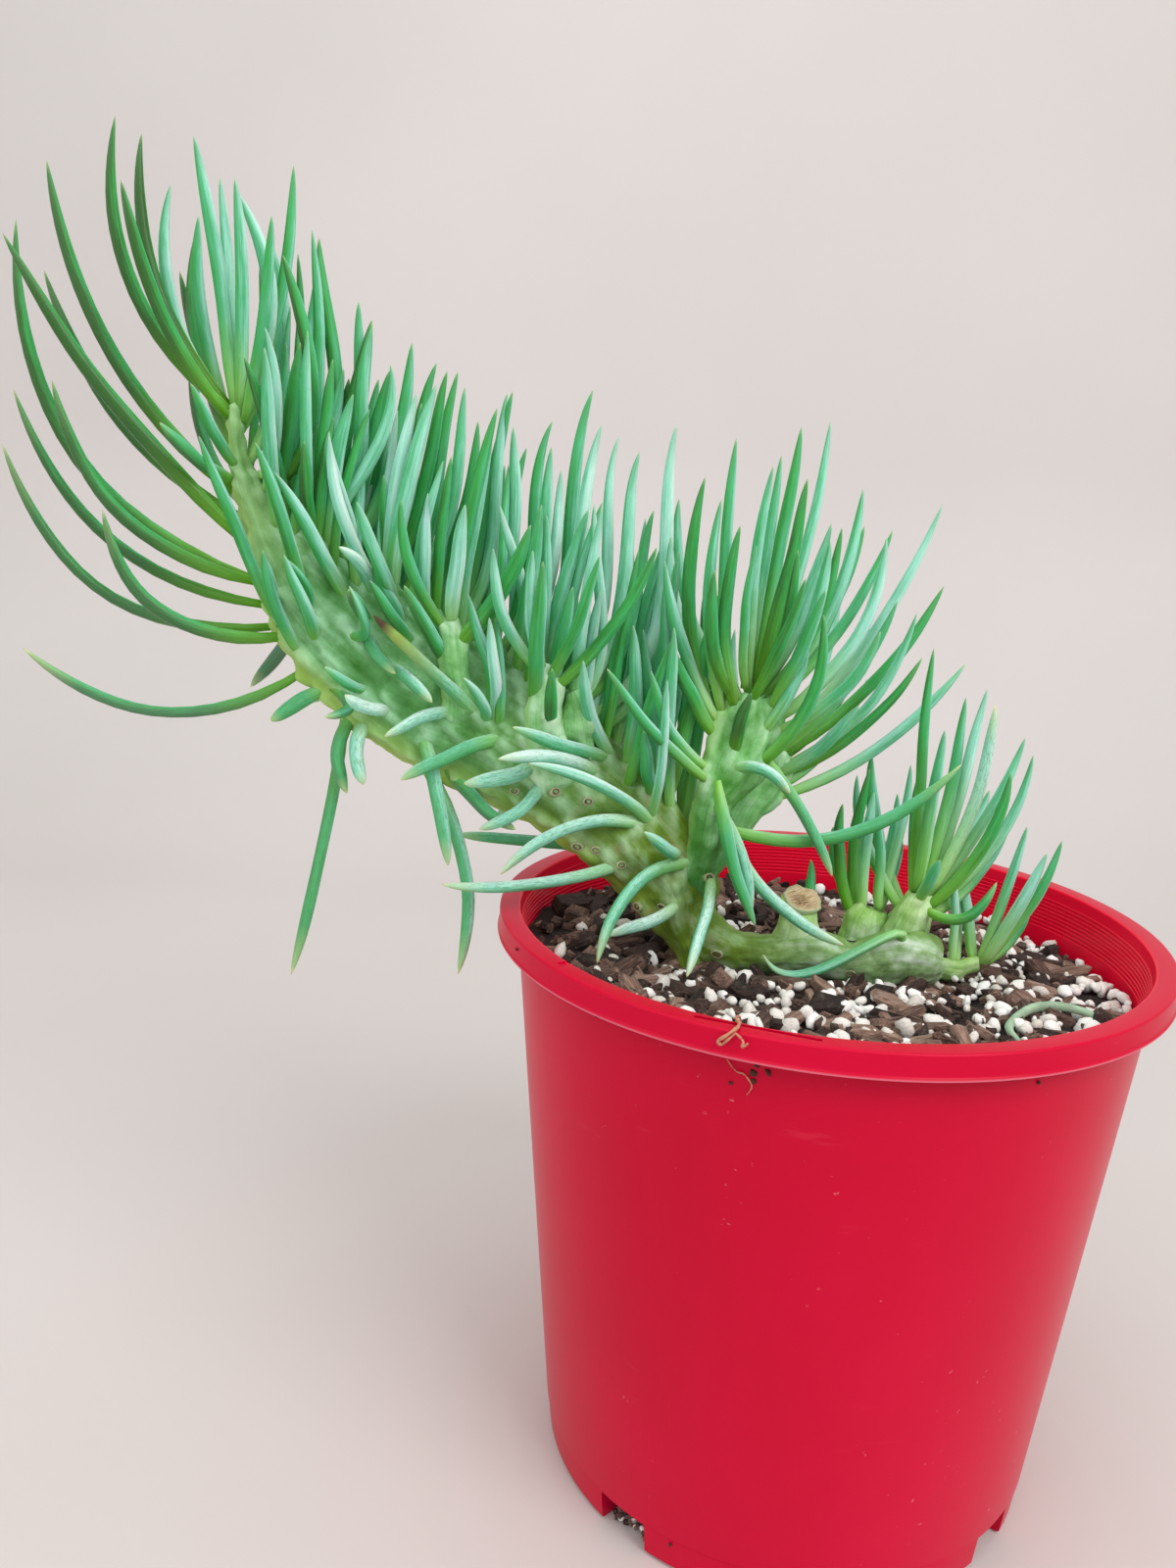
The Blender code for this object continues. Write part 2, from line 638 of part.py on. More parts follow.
def end_shoot_fill(draw):
    """Leaves round the end shoot, where the leaves set one by one leave it open behind."""
    leaves = []
    for index in range(END_SHOOT_LEAVES):
        at = END_SHOOT_START + END_SHOOT_LENGTH * (index + 0.5) / END_SHOOT_LEAVES
        angle = math.radians(30.0 + 110.0 * ((index * GOLDEN_SHARE) % 1.0))
        root = crest_point(at, angle)
        axis = (crest_point(at, 0.0) + crest_point(at, math.pi)) / 2.0
        out = (root - axis).normalized() + Vector((0.0, 0.0, 0.5))
        up = Vector((draw.uniform(-0.3, 0.1), draw.uniform(0.0, 0.35), 1.0)).normalized()
        leaves.append(fill_leaf(root, axis, out.normalized(), up, draw.uniform(56.0, 74.0), draw))
    return leaves


def branch_fill(rows, fill, draw):
    """Upright leaves round the top of a branch."""
    count, first_angle, last_angle, length = fill
    leaves = []
    last = len(rows) - 1
    for index in range(count):
        share = (index + 0.5) / count
        at = last - draw.uniform(0.1, 1.4)
        angle = math.radians(first_angle + (last_angle - first_angle) * share)
        root = branch_point(rows, at, angle)
        axis = (branch_point(rows, at, 0.0) + branch_point(rows, at, math.pi)) / 2.0
        out = ((root - axis).normalized() + Vector((0.0, 0.0, 0.8))).normalized()
        up = Vector((0.15 + 0.3 * math.cos(angle), 0.3 * math.sin(angle), 1.0)).normalized()
        leaves.append(fill_leaf(root, axis, out, up, length * draw.uniform(0.7, 1.0), draw))
    return leaves


def samples(leaf):
    """Balls along a leaf, as rows of x, y, z and radius."""
    points, width = leaf
    rows = []
    for index in range(LEAF_SAMPLES):
        at = index / (LEAF_SAMPLES - 1)
        rows.append((*leaf_curve(points, at), width * leaf_width(at)))
    return np.array(rows)


def closest_gap(own, spots):
    """The smallest gap between two sets of balls, below zero where they cross."""
    apart = np.linalg.norm(own[:, None, :3] - spots[None, :, :3], axis=2)
    return float((apart - own[:, None, 3] - spots[None, :, 3]).min())


def bent(leaf, bend):
    """The leaf with its tip moved in depth, and the rest of it less the nearer its root."""
    points, width = leaf
    last = len(points) - 1
    moved = [point + Vector((0.0, bend * index / last, 0.0)) for index, point in enumerate(points)]
    return moved, width


def bent_clear(leaves, spots, clearance, first, among_themselves):
    """The leaves bent in depth until they keep clear, leaving out those that can't."""
    kept = []
    for leaf in leaves:
        for step in range(BEND_TRIES):
            bend = BEND_STEP * ((step + 1) // 2) * (1.0 if step % 2 else -1.0)
            moved = bent(leaf, bend)
            own = samples(moved)
            if not len(spots) or closest_gap(own[first:], spots) > clearance:
                kept.append(moved)
                if among_themselves:
                    spots = np.concatenate([spots, own[first:]]) if len(spots) else own[first:]
                break
    return kept


def above_soil(leaves):
    """The leaves with every point but the root lifted clear of the potting mix."""
    lifted = []
    for points, width in leaves:
        raised = [points[0]]
        for point in points[1:]:
            lowest = soil_height(point.x, point.y) + SOIL_RELIEF + width + SOIL_ROOM
            inside_pot = math.hypot(point.x, point.y) < RIM_RADIUS
            height = max(point.z, lowest) if inside_pot else point.z
            raised.append(Vector((point.x, point.y, height)))
        lifted.append((raised, width))
    return lifted


def stem_spots(rings):
    """Balls that fill a stem's rings, for keeping leaves of another stem clear of it."""
    rows = []
    for ring, following in zip(rings, rings[1:]):
        for share in (0.0, 0.5):
            middle = [start.lerp(end, share) for start, end in zip(ring, following)]
            centre = sum(middle, Vector()) / len(middle)
            for point in middle:
                rows.append((*centre.lerp(point, 0.6), (point - centre).length * 0.45))
    return np.array(rows)


def crested_leaves():
    draw = random.Random(SEED)
    crest = crest_core()
    fan = branch_core(FAN)
    rear = branch_core(REAR_LOBE)
    leaves = []
    for rows, core, half_width in (
        (SHOOT_LEAVES, crest, SHOOT_HALF_WIDTH),
        (CREST_LEAVES, crest, CREST_HALF_WIDTH),
        (LIMP_LEAVES, crest, LIMP_HALF_WIDTH),
        (FAN_LEAVES, fan, FAN_HALF_WIDTH),
        (REAR_LOBE_LEAVES, rear, FAN_HALF_WIDTH),
    ):
        leaves += [set_leaf(row, core, half_width, draw) for row in rows]
    leaves += end_shoot_fill(draw)
    leaves += branch_fill(FAN, FAN_FILL, draw)
    leaves += branch_fill(FAN, FAN_FRONT_FILL, draw)
    leaves += branch_fill(REAR_LOBE, REAR_LOBE_FILL, draw)
    leaves += branch_fill(LEFT_FOLD, LEFT_FOLD_FILL, draw)
    leaves += branch_fill(MIDDLE_FOLD, MIDDLE_FOLD_FILL, draw)
    leaves += crest_back(draw)
    leaves += crest_fill(draw)
    return bent_clear(above_soil(leaves), np.empty((0, 4)), 0.0, FREE_FROM, True)


def creeper_leaves(spots):
    draw = random.Random(SEED + 1)
    leaves = []
    for rows, base in (
        (FIRST_OFFSET_LEAVES, FIRST_OFFSET),
        (SECOND_OFFSET_LEAVES, SECOND_OFFSET),
        (THIRD_OFFSET_LEAVES, THIRD_OFFSET),
        (SMALL_CREEPER_LEAVES, CREEPER + STUMP),
    ):
        core = branch_core(base)
        leaves += [set_leaf(row, core, FAN_HALF_WIDTH, draw) for row in rows]
    leaves += branch_fill(FIRST_OFFSET, FIRST_OFFSET_FILL, draw)
    leaves += branch_fill(SECOND_OFFSET, SECOND_OFFSET_FILL, draw)
    leaves += branch_fill(THIRD_OFFSET, THIRD_OFFSET_FILL, draw)
    leaves = bent_clear(above_soil(leaves), np.empty((0, 4)), 0.0, FREE_FROM, True)
    return bent_clear(leaves, spots, PLANT_CLEARANCE, 0, False)


# Meshes


def new_material(name, colour, roughness):
    material = bpy.data.materials.new(name)
    material.use_nodes = True
    shader = material.node_tree.nodes["Principled BSDF"]
    shader.inputs["Base Color"].default_value = (*colour, 1.0)
    shader.inputs["Roughness"].default_value = roughness
    material.diffuse_color = (*colour, 1.0)
    return material


def object_from(bm, name, collection, material=None):
    bmesh.ops.recalc_face_normals(bm, faces=bm.faces)
    mesh = bpy.data.meshes.new(name)
    bm.to_mesh(mesh)
    bm.free()
    made = bpy.data.objects.new(name, mesh)
    collection.objects.link(made)
    if material:
        mesh.materials.append(material)
    return made


def lofted(rings, name, collection, material=None, tip=None):
    """A closed skin through the rings, capped at its root and capped or pointed at its end."""
    bm = bmesh.new()
    rows = [[bm.verts.new(point * MM) for point in ring] for ring in rings]
    sides = len(rows[0])
    for row, following in zip(rows, rows[1:]):
        for side in range(sides):
            after = (side + 1) % sides
            bm.faces.new((row[side], row[after], following[after], following[side]))
    bm.faces.new(list(reversed(rows[0])))
    if tip is None:
        bm.faces.new(rows[-1])
    else:
        point = bm.verts.new(tip * MM)
        for side in range(sides):
            bm.faces.new((rows[-1][side], rows[-1][(side + 1) % sides], point))
    bmesh.ops.triangulate(bm, faces=bm.faces)
    return object_from(bm, name, collection, material)


def leaf_object(leaf, collection):
    """A four-sided leaf, with more rings where it is curved."""
    points, _ = leaf
    chord = points[-1] - points[0]
    middle = leaf_curve(points, 0.5)
    bow = (middle - points[0]).cross(chord.normalized()).length / chord.length
    stations = next(places for least_bow, places in LEAF_STATIONS if bow >= least_bow)
    return lofted(leaf_rings(leaf, LEAF_SIDES, stations), "leaf", collection, tip=points[-1])


def box_object(name, size, matrix, collection):
    bm = bmesh.new()
    bmesh.ops.create_cube(bm, size=1.0)
    bmesh.ops.scale(bm, vec=Vector(size) * MM, verts=bm.verts)
    place = matrix.copy()
    place.translation = matrix.translation * MM
    bmesh.ops.transform(bm, matrix=place, verts=bm.verts)
    return object_from(bm, name, collection)


def boolean(target, operation, collection, solver="EXACT"):
    modifier = target.modifiers.new(operation.lower(), "BOOLEAN")
    modifier.operation = operation
    modifier.operand_type = "COLLECTION"
    modifier.collection = collection
    modifier.solver = solver


def main_body_only(mesh):
    """Drops loose scraps and fills sealed hollows, by keeping only the largest skin."""
    bm = bmesh.new()
    bm.from_mesh(mesh)
    bmesh.ops.remove_doubles(bm, verts=bm.verts, dist=0.001 * MM)
    left = set(bm.faces)
    skins = []
    while left:
        skin = set()
        queue = [left.pop()]
        while queue:
            face = queue.pop()
            skin.add(face)
            for edge in face.edges:
                for neighbour in edge.link_faces:
                    if neighbour in left:
                        left.remove(neighbour)
                        queue.append(neighbour)
        skins.append(skin)
    largest = max(skins, key=len)
    spare = [face for skin in skins if skin is not largest for face in skin]
    bmesh.ops.delete(bm, geom=spare, context="FACES")
    bmesh.ops.triangulate(bm, faces=bm.faces)
    bm.to_mesh(mesh)
    bm.free()


def apply_modifiers(target):
    graph = bpy.context.evaluated_depsgraph_get()
    mesh = bpy.data.meshes.new_from_object(target.evaluated_get(graph))
    target.modifiers.clear()
    target.data = mesh
    main_body_only(mesh)


def fuse(target, repeats):
    """Joins every object of the collection to the target, and removes them."""
    boolean(target, "UNION", repeats, "MANIFOLD")
    apply_modifiers(target)
    for piece in list(repeats.objects):
        bpy.data.objects.remove(piece)
    bpy.data.collections.remove(repeats)


def helper_collection(name):
    collection = bpy.data.collections.new(name)
    bpy.context.scene.collection.children.link(collection)
    return collection


def make_cutter(cutter):
    cutter.hide_render = True
    cutter.display_type = "WIRE"


# Pieces


def pot_profile():
    """From the middle of the floor inside, up, over the rim, down outside and in below."""
    underside = POT_HEIGHT - LIP_HEIGHT
    band = RIM_RADIUS - LIP_BEAD
    return [
        (0.0, FLOOR),
        (wall_radius(FLOOR) - WALL, FLOOR),
        (wall_radius(underside) - WALL, underside),
        (RIM_INNER_RADIUS - RIM_ROUNDING, POT_HEIGHT - 2.0 * RIM_ROUNDING),
        (RIM_INNER_RADIUS, POT_HEIGHT),
        (band - RIM_ROUNDING, POT_HEIGHT),
        (band, POT_HEIGHT - RIM_ROUNDING),
        (band, underside + BEAD_HEIGHT + BEAD_SLOPE),
        (RIM_RADIUS, underside + BEAD_HEIGHT),
        (RIM_RADIUS, underside),
        (RIM_RADIUS - SKIRT, underside),
        (RIM_RADIUS - SKIRT, POT_HEIGHT - SKIRT),
        (wall_radius(underside), POT_HEIGHT - SKIRT),
        (wall_radius(underside), underside),
        (wall_radius(FOOT_BAND), FOOT_BAND),
        (wall_radius(FOOT_BAND) - FOOT_STEP, FOOT_BAND - FOOT_STEP),
        (FOOT_RADIUS - FOOT_STEP, 0.0),
        (0.0, 0.0),
    ]


def notch_box(name, angle, inner, outer, width, bottom, top, collection):
    turn = Matrix.Rotation(angle, 4, "Z")
    centre = Vector(((inner + outer) / 2.0, 0.0, (bottom + top) / 2.0))
    matrix = turn @ Matrix.Translation(centre)
    return box_object(name, (outer - inner, width, top - bottom), matrix, collection)


def notch_angles():
    return [FIRST_NOTCH + math.tau * index / NOTCHES for index in range(NOTCHES)]


def make_pot(collection, cutters, material):
    profile = bpy.data.meshes.new("pot")
    points = [Vector((radius, 0.0, z)) * MM for radius, z in pot_profile()]
    profile.from_pydata(points, [(i, i + 1) for i in range(len(points) - 1)], [])
    pot = bpy.data.objects.new("pot", profile)
    collection.objects.link(pot)
    screw = pot.modifiers.new("turned", "SCREW")
    screw.axis = "Z"
    screw.steps = POT_STEPS
    screw.render_steps = POT_STEPS
    screw.use_merge_vertices = True
    screw.merge_threshold = 0.01 * MM
    apply_modifiers(pot)
    pot.data.materials.append(material)
    pockets = helper_collection("pockets")
    for angle in notch_angles():
        outer = wall_radius(0.0) - FOOT_STEP - WALL / 2.0
        notch_box(
            "pocket", angle, NOTCH_INNER_RADIUS - POCKET_WALL, outer,
            NOTCH_WIDTH + 2.0 * POCKET_WALL, FLOOR / 2.0, NOTCH_HEIGHT + POCKET_WALL, pockets,
        )
        opening = notch_box(
            "notch", angle, NOTCH_INNER_RADIUS, RIM_RADIUS,
            NOTCH_WIDTH, -FLOOR, NOTCH_HEIGHT, cutters,
        )
        drain = notch_box(
            "drain", angle, NOTCH_INNER_RADIUS - 3.0 * POCKET_WALL, NOTCH_INNER_RADIUS + 1.0,
            DRAIN_WIDTH, DRAIN_BOTTOM, DRAIN_TOP, cutters,
        )
        make_cutter(opening)
        make_cutter(drain)
    boolean(pot, "UNION", pockets)
    boolean(pot, "DIFFERENCE", cutters)
    apply_modifiers(pot)
    for piece in list(pockets.objects):
        bpy.data.objects.remove(piece)
    bpy.data.collections.remove(pockets)
    pot.data.shade_smooth()
    pot.data.set_sharp_from_angle(angle=POT_SHARP_ANGLE)
    return pot


def soil_rings():
    """Bottom, then the top from its edge to the middle."""
    turns = [math.tau * side / SOIL_SIDES for side in range(SOIL_SIDES)]
    bottom = FLOOR + GAP
    foot = wall_radius(bottom) - WALL - 2.0 * GAP
    edge = wall_radius(SOIL_LEVEL) - WALL - 3.0 * GAP
    rings = [[Vector((foot * math.cos(t), foot * math.sin(t), bottom)) for t in turns]]
    for share in SOIL_RINGS:
        ring = []
        for turn in turns:
            x = edge * share * math.cos(turn)
            y = edge * share * math.sin(turn)
            ring.append(Vector((x, y, soil_height(x, y))))
        rings.append(ring)
    return rings


def near_spot(point, radius, spots):
    return closest_gap(np.array([(*point, radius)]), spots) < BIT_CLEARANCE


def scattered(draw, reach):
    """An even scatter over the pot's mouth."""
    radius = reach * math.sqrt(draw.random())
    turn = draw.uniform(0.0, math.tau)
    return radius * math.cos(turn), radius * math.sin(turn)


def add_chips(draw, spots, repeats):
    made = 0
    while made < BARK_CHIPS:
        x, y = scattered(draw, CHIP_REACH)
        size = Vector([draw.uniform(*limits) for limits in (CHIP_LENGTH, CHIP_WIDTH, CHIP_HEIGHT)])
        centre = Vector((x, y, soil_height(x, y) + CHIP_RISE))
        if near_spot(centre, size.length / 2.0, spots):
            continue
        matrix = Matrix.Translation(centre) @ Matrix.Rotation(draw.uniform(0.0, math.tau), 4, "Z")
        for axis in "XY":
            matrix = matrix @ Matrix.Rotation(draw.uniform(-CHIP_TILT, CHIP_TILT), 4, axis)
        box_object("chip", size, matrix, repeats)
        made += 1


def add_perlite(draw, spots, repeats):
    made = 0
    while made < PERLITE_GRAINS:
        x, y = scattered(draw, GRAIN_REACH)
        radius = draw.uniform(*GRAIN_RADIUS)
        centre = Vector((x, y, soil_height(x, y) + GRAIN_RISE * radius))
        if near_spot(centre, radius, spots):
            continue
        bm = bmesh.new()
        bmesh.ops.create_icosphere(bm, subdivisions=1, radius=radius * MM)
        bmesh.ops.scale(bm, vec=(1.0, draw.uniform(0.7, 1.0), 0.8), verts=bm.verts)
        turn = Matrix.Rotation(draw.uniform(0.0, math.tau), 4, "Z")
        bmesh.ops.transform(bm, matrix=Matrix.Translation(centre * MM) @ turn, verts=bm.verts)
        object_from(bm, "grain", repeats)
        made += 1


def make_potting_mix(collection, cutters, material, spots):
    draw = random.Random(SEED + 2)
    middle = Vector((0.0, 0.0, soil_height(0.0, 0.0)))
    mix = lofted(soil_rings(), "potting_mix", collection, material, tip=middle)
    repeats = helper_collection("bits")
    add_chips(draw, spots, repeats)
    add_perlite(draw, spots, repeats)
    fuse(mix, repeats)
    holes = helper_collection("holes")
    buried = [crest_rings(CREST_SIDES)[:4]]
    buried += [branch_rings(rows, BRANCH_SIDES) for rows in (CREEPER, THIRD_OFFSET)]
    for rings in buried:
        lofted(grown(rings, HOLE_CLEARANCE), "hole", holes)
    for angle in notch_angles():
        notch_box(
            "recess", angle, NOTCH_INNER_RADIUS - 3.0 * POCKET_WALL, RIM_RADIUS,
            NOTCH_WIDTH + 4.0 * POCKET_WALL, -FLOOR, NOTCH_HEIGHT + 2.0 * POCKET_WALL, holes,
        )
    boolean(mix, "DIFFERENCE", holes, "MANIFOLD")
    apply_modifiers(mix)
    for piece in list(holes.objects):
        bpy.data.objects.remove(piece)
    bpy.data.collections.remove(holes)
    return mix


def make_leafy(name, stems, leaves, collection, material):
    """One stem with its branches and leaves joined to it."""
    trunk = lofted(stems[0], name, collection, material)
    repeats = helper_collection(name + "_repeats")
    for rings in stems[1:]:
        lofted(rings, "branch", repeats)
    for leaf in leaves:
        leaf_object(leaf, repeats)
    fuse(trunk, repeats)
    trunk.data.shade_smooth()
    trunk.data.set_sharp_from_angle(angle=LEAF_SHARP_ANGLE)
    return trunk


def fallen_leaf_curve(level):
    return [Vector((x, y, level)) for x, y in FALLEN_LEAF]


def make_fallen_leaf(collection, material, mix):
    """A shed leaf lying on the potting mix, at the height of the highest place under it."""
    points = fallen_leaf_curve(POT_HEIGHT)
    half = FALLEN_HALF_WIDTH
    heights = []
    for index in range(FALLEN_PROBES):
        centre = leaf_curve(points, index / (FALLEN_PROBES - 1))
        for side in range(FALLEN_SIDES):
            turn = math.tau * side / FALLEN_SIDES
            edge = Vector((half * math.cos(turn), half * math.sin(turn), 0.0))
            hit, place, _, _ = mix.ray_cast((centre + edge) * MM, Vector((0.0, 0.0, -1.0)))
            if hit:
                heights.append(place.z / MM)
    points = fallen_leaf_curve(max(heights) + half * LEAF_FLATNESS + GAP)
    stations = [index / FALLEN_RINGS for index in range(FALLEN_RINGS)]
    rings = leaf_rings((points, half), FALLEN_SIDES, stations)
    leaf = lofted(rings, "fallen_leaf", collection, material, tip=points[-1])
    leaf.data.shade_smooth()
    return leaf


def clear_scene():
    for item in list(bpy.data.objects):
        bpy.data.objects.remove(item)


def main():
    clear_scene()
    parts = helper_collection("potted_senecio")
    cutters = helper_collection("cutters")
    red = new_material("red plastic", (0.60, 0.008, 0.035), 0.32)
    brown = new_material("bark and perlite", (0.12, 0.07, 0.05), 0.95)
    green = new_material("bloomed leaf green", (0.13, 0.36, 0.22), 0.55)
    waxy = new_material("waxy stem green", (0.30, 0.45, 0.24), 0.6)
    pale = new_material("shed leaf", (0.40, 0.50, 0.38), 0.7)

    crest_stems = [crest_rings(CREST_SIDES)]
    crest_stems += [branch_rings(rows, BRANCH_SIDES) for rows in CREST_BRANCHES]
    creeper_rows = (CREEPER, STUMP, FIRST_OFFSET, SECOND_OFFSET, THIRD_OFFSET)
    creeper_stems = [branch_rings(rows, BRANCH_SIDES) for rows in creeper_rows]
    upper_leaves = crested_leaves()
    spots = [samples(leaf) for leaf in upper_leaves]
    spots += [stem_spots(rings) for rings in crest_stems]
    lower_leaves = creeper_leaves(np.concatenate(spots))
    shed = (fallen_leaf_curve(SOIL_LEVEL), FALLEN_HALF_WIDTH)
    spots += [samples(leaf) for leaf in [*lower_leaves, shed]]
    spots = np.concatenate(spots)
    near_soil = spots[spots[:, 2] < POT_HEIGHT]

    make_pot(parts, cutters, red)
    mix = make_potting_mix(parts, cutters, brown, near_soil)
    make_leafy("crested_stem", crest_stems, upper_leaves, parts, green)
    make_leafy("creeping_stem", creeper_stems, lower_leaves, parts, waxy)
    bpy.context.view_layer.update()
    make_fallen_leaf(parts, pale, mix)


main()
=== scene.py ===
"""Looks for a crested senecio in a red nursery pot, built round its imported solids.

Sizes and places are in millimetres, and meshes are made from them in metres.
The origin is the middle of the pot's underside, +Z is up, and the crest leans towards -X.
The front of the plant faces -Y.
"""

import json
import math
import random
from functools import partial

import bmesh
import bpy
import numpy as np
from mathutils import Matrix, Vector, noise
from mathutils.bvhtree import BVHTree
from mathutils.kdtree import KDTree

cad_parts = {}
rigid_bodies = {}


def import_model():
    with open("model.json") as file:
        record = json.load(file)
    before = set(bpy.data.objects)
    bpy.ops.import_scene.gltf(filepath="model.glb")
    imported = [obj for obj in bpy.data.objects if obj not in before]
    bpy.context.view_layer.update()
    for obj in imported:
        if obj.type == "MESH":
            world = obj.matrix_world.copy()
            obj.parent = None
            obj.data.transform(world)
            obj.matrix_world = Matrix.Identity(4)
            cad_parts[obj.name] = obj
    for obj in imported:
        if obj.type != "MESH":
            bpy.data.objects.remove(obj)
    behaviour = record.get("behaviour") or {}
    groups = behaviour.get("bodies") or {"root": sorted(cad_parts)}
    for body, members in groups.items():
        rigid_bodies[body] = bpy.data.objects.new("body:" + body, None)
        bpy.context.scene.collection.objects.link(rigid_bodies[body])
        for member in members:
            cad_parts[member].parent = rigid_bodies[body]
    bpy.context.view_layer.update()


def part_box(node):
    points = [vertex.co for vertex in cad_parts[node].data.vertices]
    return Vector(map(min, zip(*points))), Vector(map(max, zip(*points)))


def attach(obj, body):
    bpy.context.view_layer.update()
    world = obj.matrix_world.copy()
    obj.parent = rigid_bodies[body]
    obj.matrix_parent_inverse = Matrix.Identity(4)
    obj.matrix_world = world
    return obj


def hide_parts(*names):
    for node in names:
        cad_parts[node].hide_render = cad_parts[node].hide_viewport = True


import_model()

MM = 0.001
SEED = 11

# Pot
RIM_RADIUS = 100.0
RIM_INNER_RADIUS = 93.2
POT_HEIGHT = 177.0
LIP_HEIGHT = 7.0
BEAD_HEIGHT = 1.2
BEAD_SLOPE = 0.4
RIM_ROUNDING = 0.7
SKIRT = 1.8
SHOULDER_RADIUS = 93.8
FOOT_RADIUS = 76.9
FOOT_BAND = 10.5
FOOT_STEP = 0.4
WALL = 1.9
FLOOR = 2.4

# Drain notches moulded into the foot of the wall
NOTCHES = 4
FIRST_NOTCH = math.radians(-134.0)
NOTCH_WIDTH = 17.0
NOTCH_HEIGHT = 10.0
NOTCH_INNER_RADIUS = 65.0
POCKET_WALL = 1.6
DRAIN_WIDTH = 11.0
DRAIN_BOTTOM = 3.4
DRAIN_TOP = 8.4

# Potting mix
SOIL_LEVEL = 161.5
SOIL_SLOPE = 0.03
SOIL_RELIEF = 1.6
SOIL_LUMP = 22.0

# The eye that the plant's lists are drawn for: each list gives x and z as seen from
# here on the plane y = 0, with the depth behind that plane apart
EYE = Vector((-74.7, -366.9, 296.8))

# Crest, from the soil to the tip of its end shoot: lower edge, upper edge, half thickness
CREST = [
    ((-47, 143), (-33, 143), 7.0),
    ((-45, 159), (-32, 160), 8.5),
    ((-52, 168), (-33, 176), 9.0),
    ((-60, 177), (-34, 192), 9.5),
    ((-70, 185), (-46, 207), 9.5),
    ((-82, 194), (-61, 222), 9.0),
    ((-94, 201), (-77, 236), 8.5),
    ((-106, 206), (-92, 248), 8.0),
    ((-119, 212), (-108, 257), 8.0),
    ((-132, 218), (-124, 265), 8.0),
    ((-145, 227), (-139, 273), 7.5),
    ((-156, 237), (-150, 281), 7.0),
    ((-166, 249), (-158, 286), 6.5),
    ((-173, 262), (-164, 289), 5.5),
    ((-178, 278), (-168, 293), 4.8),
    ((-181, 293), (-172, 300), 4.2),
    ((-183, 306), (-175, 309), 3.6),
    ((-182, 316), (-177, 317), 2.4),
]

WAVE_HEIGHT = 5.0
WAVE_LENGTH = 2.6
WAVE_START = 2.0
WAVE_FULL_WIDTH = 40.0
EDGE_THINNING = 0.35

# Fan branch and the lobe behind it: centre, half width, half thickness, depth
FAN = [
    ((-41, 183), 5.5, 5.0, -2),
    ((-39, 198), 5.2, 5.0, -4),
    ((-38, 209), 5.4, 4.8, -6),
    ((-34, 218), 7.0, 4.8, -7),
    ((-31, 226), 9.0, 4.6, -8),
    ((-29, 234), 10.5, 3.8, -8),
    ((-29, 240), 8.0, 3.0, -8),
    ((-29, 245), 3.5, 1.8, -8),
]
REAR_LOBE = [
    ((-39, 187), 5.2, 5.0, 1),
    ((-33, 198), 5.5, 5.0, 4),
    ((-28, 209), 7.0, 4.5, 7),
    ((-23, 219), 8.0, 4.0, 9),
    ((-20, 227), 5.5, 2.2, 10),
]
# Folds of the crest that stand out of its front, with leaves at their tops
LEFT_FOLD = [
    ((-112, 226), 6.0, 5.0, -4),
    ((-114, 236), 5.5, 4.5, -6),
    ((-116, 246), 5.0, 4.0, -9),
    ((-117, 255), 4.2, 3.2, -10),
    ((-117, 261), 2.2, 1.8, -10),
]
MIDDLE_FOLD = [
    ((-82, 204), 8.0, 5.0, -4),
    ((-85, 214), 7.2, 5.0, -6),
    ((-88, 225), 6.4, 4.6, -9),
    ((-89, 234), 6.0, 4.0, -11),
    ((-89, 243), 4.6, 3.2, -11),
    ((-89, 249), 2.4, 1.8, -11),
]
CREST_BRANCHES = (FAN, REAR_LOBE, LEFT_FOLD, MIDDLE_FOLD)

# Creeping stem, from the crest's foot to its blunt end: centre, half height, half thickness
CREEPER = [
    ((-31, 163), 3.5, 4.0, -2),
    ((-27, 163), 7.5, 7.5, -3),
    ((-14, 164), 9.5, 10.0, -4),
    ((0, 163), 9.5, 11.0, -4),
    ((12, 163), 9.0, 11.0, -4),
    ((24, 164), 9.5, 11.5, -4),
    ((33, 164), 8.5, 10.0, -4),
    ((38, 163), 5.0, 6.0, -4),
]
# Short growths on the creeping stem: the pruned stump and the bases of three offsets
STUMP = [((-9, 166), 7.0, 6.5, 0), ((-9, 175), 5.6, 5.4, -2), ((-8, 182), 5.0, 4.8, -4)]
FIRST_OFFSET = [((12, 168), 8.5, 7.0, 3), ((13, 176), 7.5, 6.0, 3), ((14, 180), 5.0, 4.0, 3)]
SECOND_OFFSET = [((24, 168), 9.0, 8.0, -1), ((27, 178), 7.5, 7.0, -1), ((29, 186), 5.0, 4.5, -1)]
THIRD_OFFSET = [((32, 162), 4.5, 4.5, 0), ((42, 161), 4.0, 4.2, 0), ((50, 164), 3.4, 3.4, 0)]

